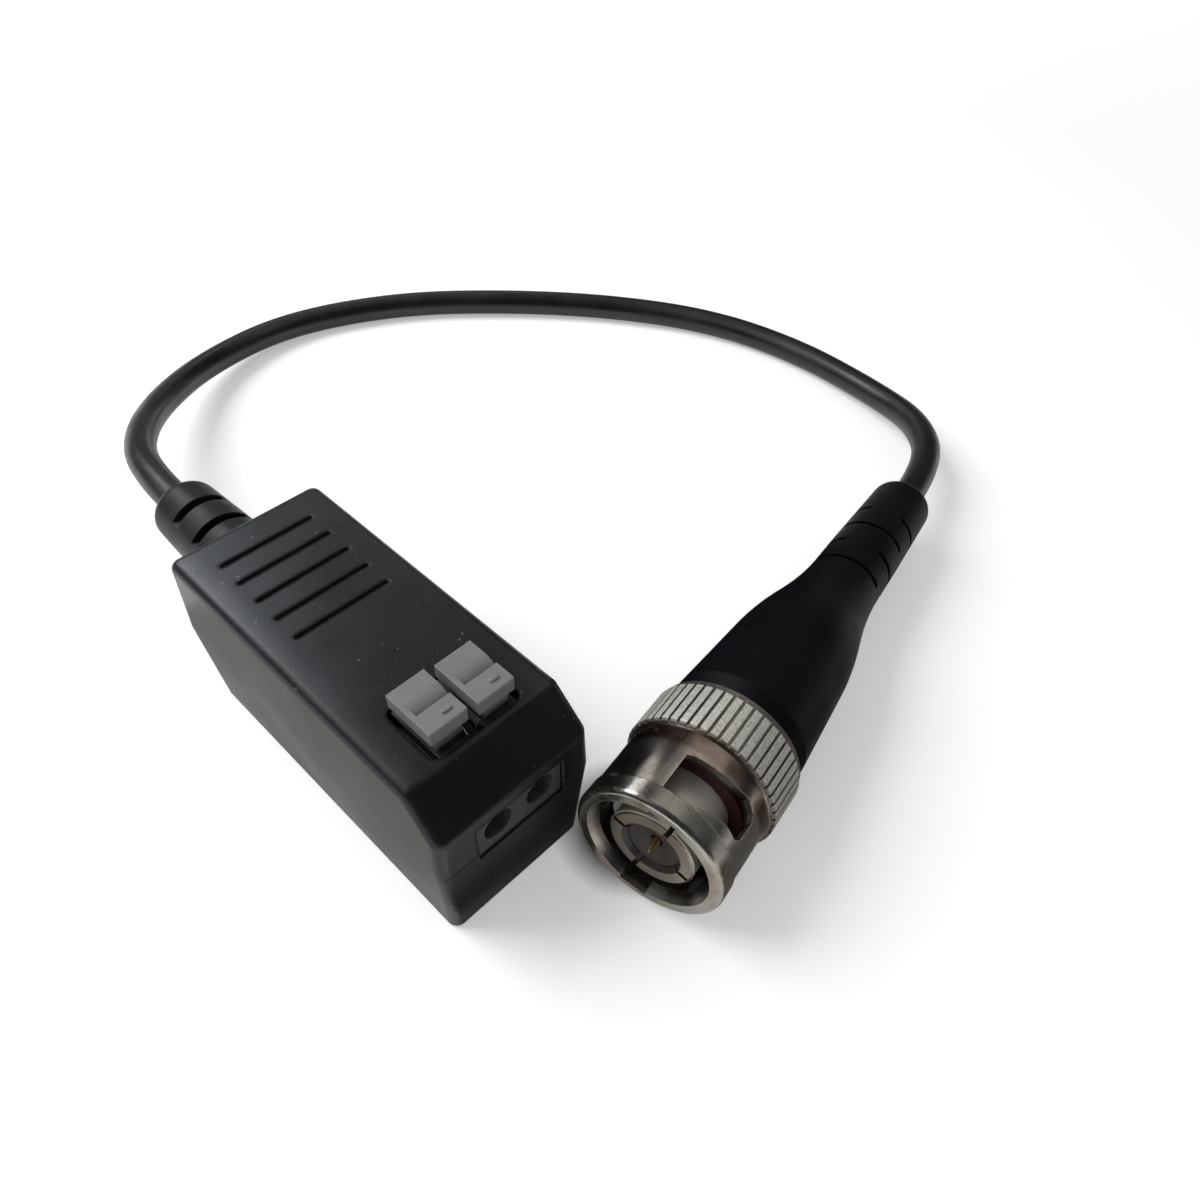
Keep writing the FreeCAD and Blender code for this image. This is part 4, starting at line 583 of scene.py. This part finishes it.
def dress():
    finishes = {}
    for maker, looks in ((makePlastic, plastics), (makeRubber, rubbers), (makeMetal, metals)):
        for name, look in looks.items():
            finishes[name] = maker(name, look)
    for node, finish in wears.items():
        nodes[node].data.materials.clear()
        nodes[node].data.materials.append(finishes[finish])
    leadCurve.data.materials.append(finishes["leadRubber"])
    return finishes


finishes = dress()
print("finishes made:", len(finishes))


# The insulator's dished front face round the pin
insulatorFace = {
    "outline": [  # mm, radius and how far back
        (2.44, 1.12), (2.36, 1.10), (0.62, 1.62), (0.56, 1.70), (0.56, 2.05), (2.44, 2.05)],
    "around": 96,  # steps
}


def plugMatrix():
    back = Vector(plugFrame["back"]).normalized()
    across = Vector(plugFrame["across"])
    across = (across - across.dot(back) * back).normalized()
    turn = Matrix((across, back.cross(across), back)).transposed().to_4x4()
    return Matrix.Translation(Vector(plugFrame["face"]) * mm) @ turn


def addTurned(name, look, finish):
    ring = look["outline"]
    around = look["around"]
    place = plugMatrix()
    spots = []
    for step in range(around):
        turn = 2 * math.pi * step / around
        for radius, back in ring:
            level = (radius * math.cos(turn) * mm, radius * math.sin(turn) * mm)
            spots.append(place @ Vector((*level, back * mm)))
    width = len(ring)
    faces = []
    for step in range(around):
        here, following = step * width, (step + 1) % around * width
        for side in range(width):
            beside = (side + 1) % width
            faces.append((here + side, here + beside, following + beside, following + side))
    mesh = bpy.data.meshes.new(name)
    mesh.from_pydata(spots, [], faces)
    mesh.validate()
    piece = bpy.data.objects.new(name, mesh)
    scene.collection.objects.link(piece)
    mesh.materials.append(finishes[finish])
    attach(piece, "housing")


addTurned("insulatorFace", insulatorFace, "insulatorPlastic")
print("insulator face added")


# A short pale fibre that lies on the lid before the left lever
fibre = {
    "points": [  # mm
        (-0.80, -13.15, 18.84), (-0.78, -13.55, 19.05), (-0.84, -14.0, 19.0), (-0.92, -14.4, 18.82)],
    "radius": 0.045,  # mm
    "smooth": 12,
    "round": 2,
    "capped": False,
}

fibreCurve = addCurve("fibre", fibre)
fibreCurve.data.materials.append(finishes["paleFibre"])
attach(fibreCurve, "housing")
print("fibre laid")


# Floor, lights, and a room painted into reflections
studio = {
    "floorSize": 2.6,  # m
    "floorColour": (0.90, 0.90, 0.895),
    "paintedShadowColour": (0.45, 0.44, 0.43),  # painted shadow on the floor that the nut hides
    "floorRough": 0.9,
    "floorShine": 0.1,
    "floorLift": 0.36,  # for the camera
    "farLift": (0.20, 0.90, 1.0),  # m: from, to, and the lift there
    "floorGloss": 0.26,  # for shiny surfaces, away from the part; near it the glow fades out as painted shade
    # m: place on the floor, then how far from it the gloss is 0, and whole
    "reflectedShadowAt": [(0.013, -0.024, 0.010, 0.036), (0.0, 0.0, 0.012, 0.032)],
    "shadowBehindNut": (0.0108, -0.0218, 0.0045, 0.0075),  # m: the same, for the camera, where the nut hides it; a painted shadow
    "keyFrom": (-0.36, 0.56, 0.75),
    "keyAway": 0.6,  # m
    "keyMiddle": (0.02, 0.0, 0.0),  # m
    "keySize": 0.36,  # m
    "keyPower": 2.6,  # W
    "ambient": 0.34,
}
facet = 6  # degrees, about the size of a card's faces
reflectionCards = {  # painted reflections, seen by shiny surfaces only: turn and rise in degrees, distance in m, and light
    "roomShade": {"round": (0, 360), "rise": (0, 90), "away": 0.50, "colour": (0.040, 0.041, 0.044)},
    "windowReflection": {"round": (46, 70), "rise": (20, 42), "away": 0.47, "colour": (0.85, 0.85, 0.80)},
    "sideWindowReflection": {"round": (80, 108), "rise": (33, 50), "away": 0.46, "colour": (6.0, 6.25, 6.7)},
    "ceilingReflection": {"round": (-40, 46), "rise": (43, 74), "away": 0.47, "colour": (0.72, 0.71, 0.67)},
    "rightWallReflection": {"round": (-60, -20), "rise": (22, 43), "away": 0.46, "colour": (0.22, 0.22, 0.21)},
}
reflectionBoards = {  # painted reflections, the darkest as painted shade: dull boards that only shiny surfaces see, each by two corners in mm
    "frontShadowBoard": {"low": (-12, -22, 0.05), "high": (9, -19.3, 0.05), "colour": (0.02, 0.02, 0.018)},
    "faceReflectionBoard": {"low": (-8, -29, 0.05), "high": (5, -22, 0.05), "colour": (0.30, 0.29, 0.28)},
    "leftReflectionBoard": {"low": (-45, -24, 0.05), "high": (-9, 32, 0.05), "colour": (0.52, 0.55, 0.50)},
    "rightReflectionBoard": {"low": (9, -75, 0.05), "high": (60, -34, 0.05), "colour": (0.11, 0.105, 0.10)},
    "backBoard": {"low": (9.5, -13, 0), "high": (16.5, -13, 17.5), "colour": (0.006, 0.006, 0.006)},
    "tallBoard": {"low": (16.5, -13, 0), "high": (52, -13, 27), "colour": (0.006, 0.006, 0.006)},
}
middleOfPart = Vector((0.02, -0.01, 0.01))


def distanceFrom(tree, place):
    gap = addNode(tree, "ShaderNodeVectorMath", operation="DISTANCE")
    feed(tree, objectPlace(tree), gap.inputs[0])
    gap.inputs[1].default_value = place
    return gap.outputs["Value"]


def fadeFrom(tree, spot):
    across, along, nearest, whole = spot
    return mapRange(tree, distanceFrom(tree, (across, along, 0.0)), nearest, whole, 0.0, 1.0)


def addFloor(look):
    half = look["floorSize"] / 2
    mesh = bpy.data.meshes.new("floor")
    corners = [(-half, -half, 0), (half, -half, 0), (half, half, 0), (-half, half, 0)]
    mesh.from_pydata(corners, [], [(0, 1, 2, 3)])
    floor = bpy.data.objects.new("floor", mesh)
    scene.collection.objects.link(floor)
    material = bpy.data.materials.new("floorPaper")
    material.use_nodes = True
    tree = material.node_tree
    shader = tree.nodes["Principled BSDF"]
    shader.inputs["Roughness"].default_value = look["floorRough"]
    shader.inputs["Specular IOR Level"].default_value = look["floorShine"]
    shader.inputs["Emission Color"].default_value = (1, 1, 1, 1)
    path = addNode(tree, "ShaderNodeLightPath").outputs
    shiny = mathNode(tree, "MAXIMUM", path["Is Glossy Ray"], path["Is Transmission Ray"])
    lift = mathNode(tree, "MULTIPLY", shiny, look["floorGloss"])
    # painted shade: near the part the glow that shiny surfaces see fades out
    for spot in look["reflectedShadowAt"]:
        lift = mathNode(tree, "MULTIPLY", lift, fadeFrom(tree, spot))
    near, far, most = look["farLift"]
    away = distanceFrom(tree, (0.0, 0.0, 0.0))
    lifted = mapRange(tree, away, near, far, look["floorLift"], most)
    seen = mathNode(tree, "MULTIPLY", path["Is Camera Ray"], lifted)
    # painted shadow: under the nut the floor is darker and glows less for the camera
    unshadowed = fadeFrom(tree, look["shadowBehindNut"])
    colour = mixColour(tree, unshadowed, look["paintedShadowColour"], look["floorColour"])
    feed(tree, colour, shader.inputs["Base Color"])
    seen = mathNode(tree, "MULTIPLY", seen, unshadowed)
    feed(tree, mathNode(tree, "MAXIMUM", seen, lift), shader.inputs["Emission Strength"])
    mesh.materials.append(material)


def backgroundRays(tree):
    path = addNode(tree, "ShaderNodeLightPath")
    either = mathNode(tree, "MAXIMUM", path.outputs["Is Camera Ray"], path.outputs["Is Glossy Ray"])
    return mathNode(tree, "MAXIMUM", either, path.outputs["Is Transmission Ray"])


def addWorld(look):
    world = bpy.data.worlds.new("studio")
    world.use_nodes = True
    tree = world.node_tree
    background = tree.nodes["Background"]
    background.inputs["Color"].default_value = (1, 1, 1, 1)
    strength = mapRange(tree, backgroundRays(tree), 0.0, 1.0, look["ambient"], 1.0)
    feed(tree, strength, background.inputs["Strength"])
    scene.world = world


def addKey(look):
    data = bpy.data.lights.new("keyLight", "AREA")
    data.size = look["keySize"]
    data.energy = look["keyPower"]
    key = bpy.data.objects.new("keyLight", data)
    direction = Vector(look["keyFrom"]).normalized()
    key.location = direction * look["keyAway"] + Vector(look["keyMiddle"])
    key.rotation_euler = direction.to_track_quat("Z", "Y").to_euler()
    scene.collection.objects.link(key)


def addCard(name, look):
    # part of a sphere round the object, which only shiny surfaces see: a painted reflection
    first, last = look["round"]
    low, high = look["rise"]
    columns = max(2, int((last - first) / facet))
    rows = max(2, int((high - low) / facet))
    spots = []
    for row in range(rows + 1):
        rise = math.radians(low + (high - low) * row / rows)
        for column in range(columns + 1):
            turn = math.radians(first + (last - first) * column / columns)
            level = Vector((math.cos(turn) * math.cos(rise), math.sin(turn) * math.cos(rise), math.sin(rise)))
            spots.append(middleOfPart + level * look["away"])
    width = columns + 1
    corners = [row * width + column for row in range(rows) for column in range(columns)]
    faces = [(corner, corner + 1, corner + width + 1, corner + width) for corner in corners]
    hangCard(name, spots, faces, look["colour"])


def addBoard(name, look):
    low, high = Vector(look["low"]) * mm, Vector(look["high"]) * mm
    if look["low"][1] == look["high"][1]:
        spots = [low, (high.x, low.y, low.z), high, (low.x, low.y, high.z)]
    else:
        spots = [low, (high.x, low.y, low.z), high, (low.x, high.y, low.z)]
    hangCard(name, spots, [(0, 1, 2, 3)], look["colour"])


def hangCard(name, spots, faces, colour):
    mesh = bpy.data.meshes.new(name)
    mesh.from_pydata(spots, [], faces)
    card = bpy.data.objects.new(name, mesh)
    scene.collection.objects.link(card)
    material = bpy.data.materials.new(name)
    material.use_nodes = True
    tree = material.node_tree
    tree.nodes.remove(tree.nodes["Principled BSDF"])
    glow = addNode(tree, "ShaderNodeEmission")
    glow.inputs["Color"].default_value = (*colour, 1)
    feed(tree, glow.outputs[0], tree.nodes["Material Output"].inputs["Surface"])
    mesh.materials.append(material)
    for ray in ("camera", "diffuse", "shadow", "transmission"):
        setattr(card, "visible_" + ray, False)


addFloor(studio)
addWorld(studio)
addKey(studio)
for name, look in reflectionCards.items():
    addCard(name, look)
for name, look in reflectionBoards.items():
    addBoard(name, look)
scene.view_settings.view_transform = "Standard"
print("studio lit")
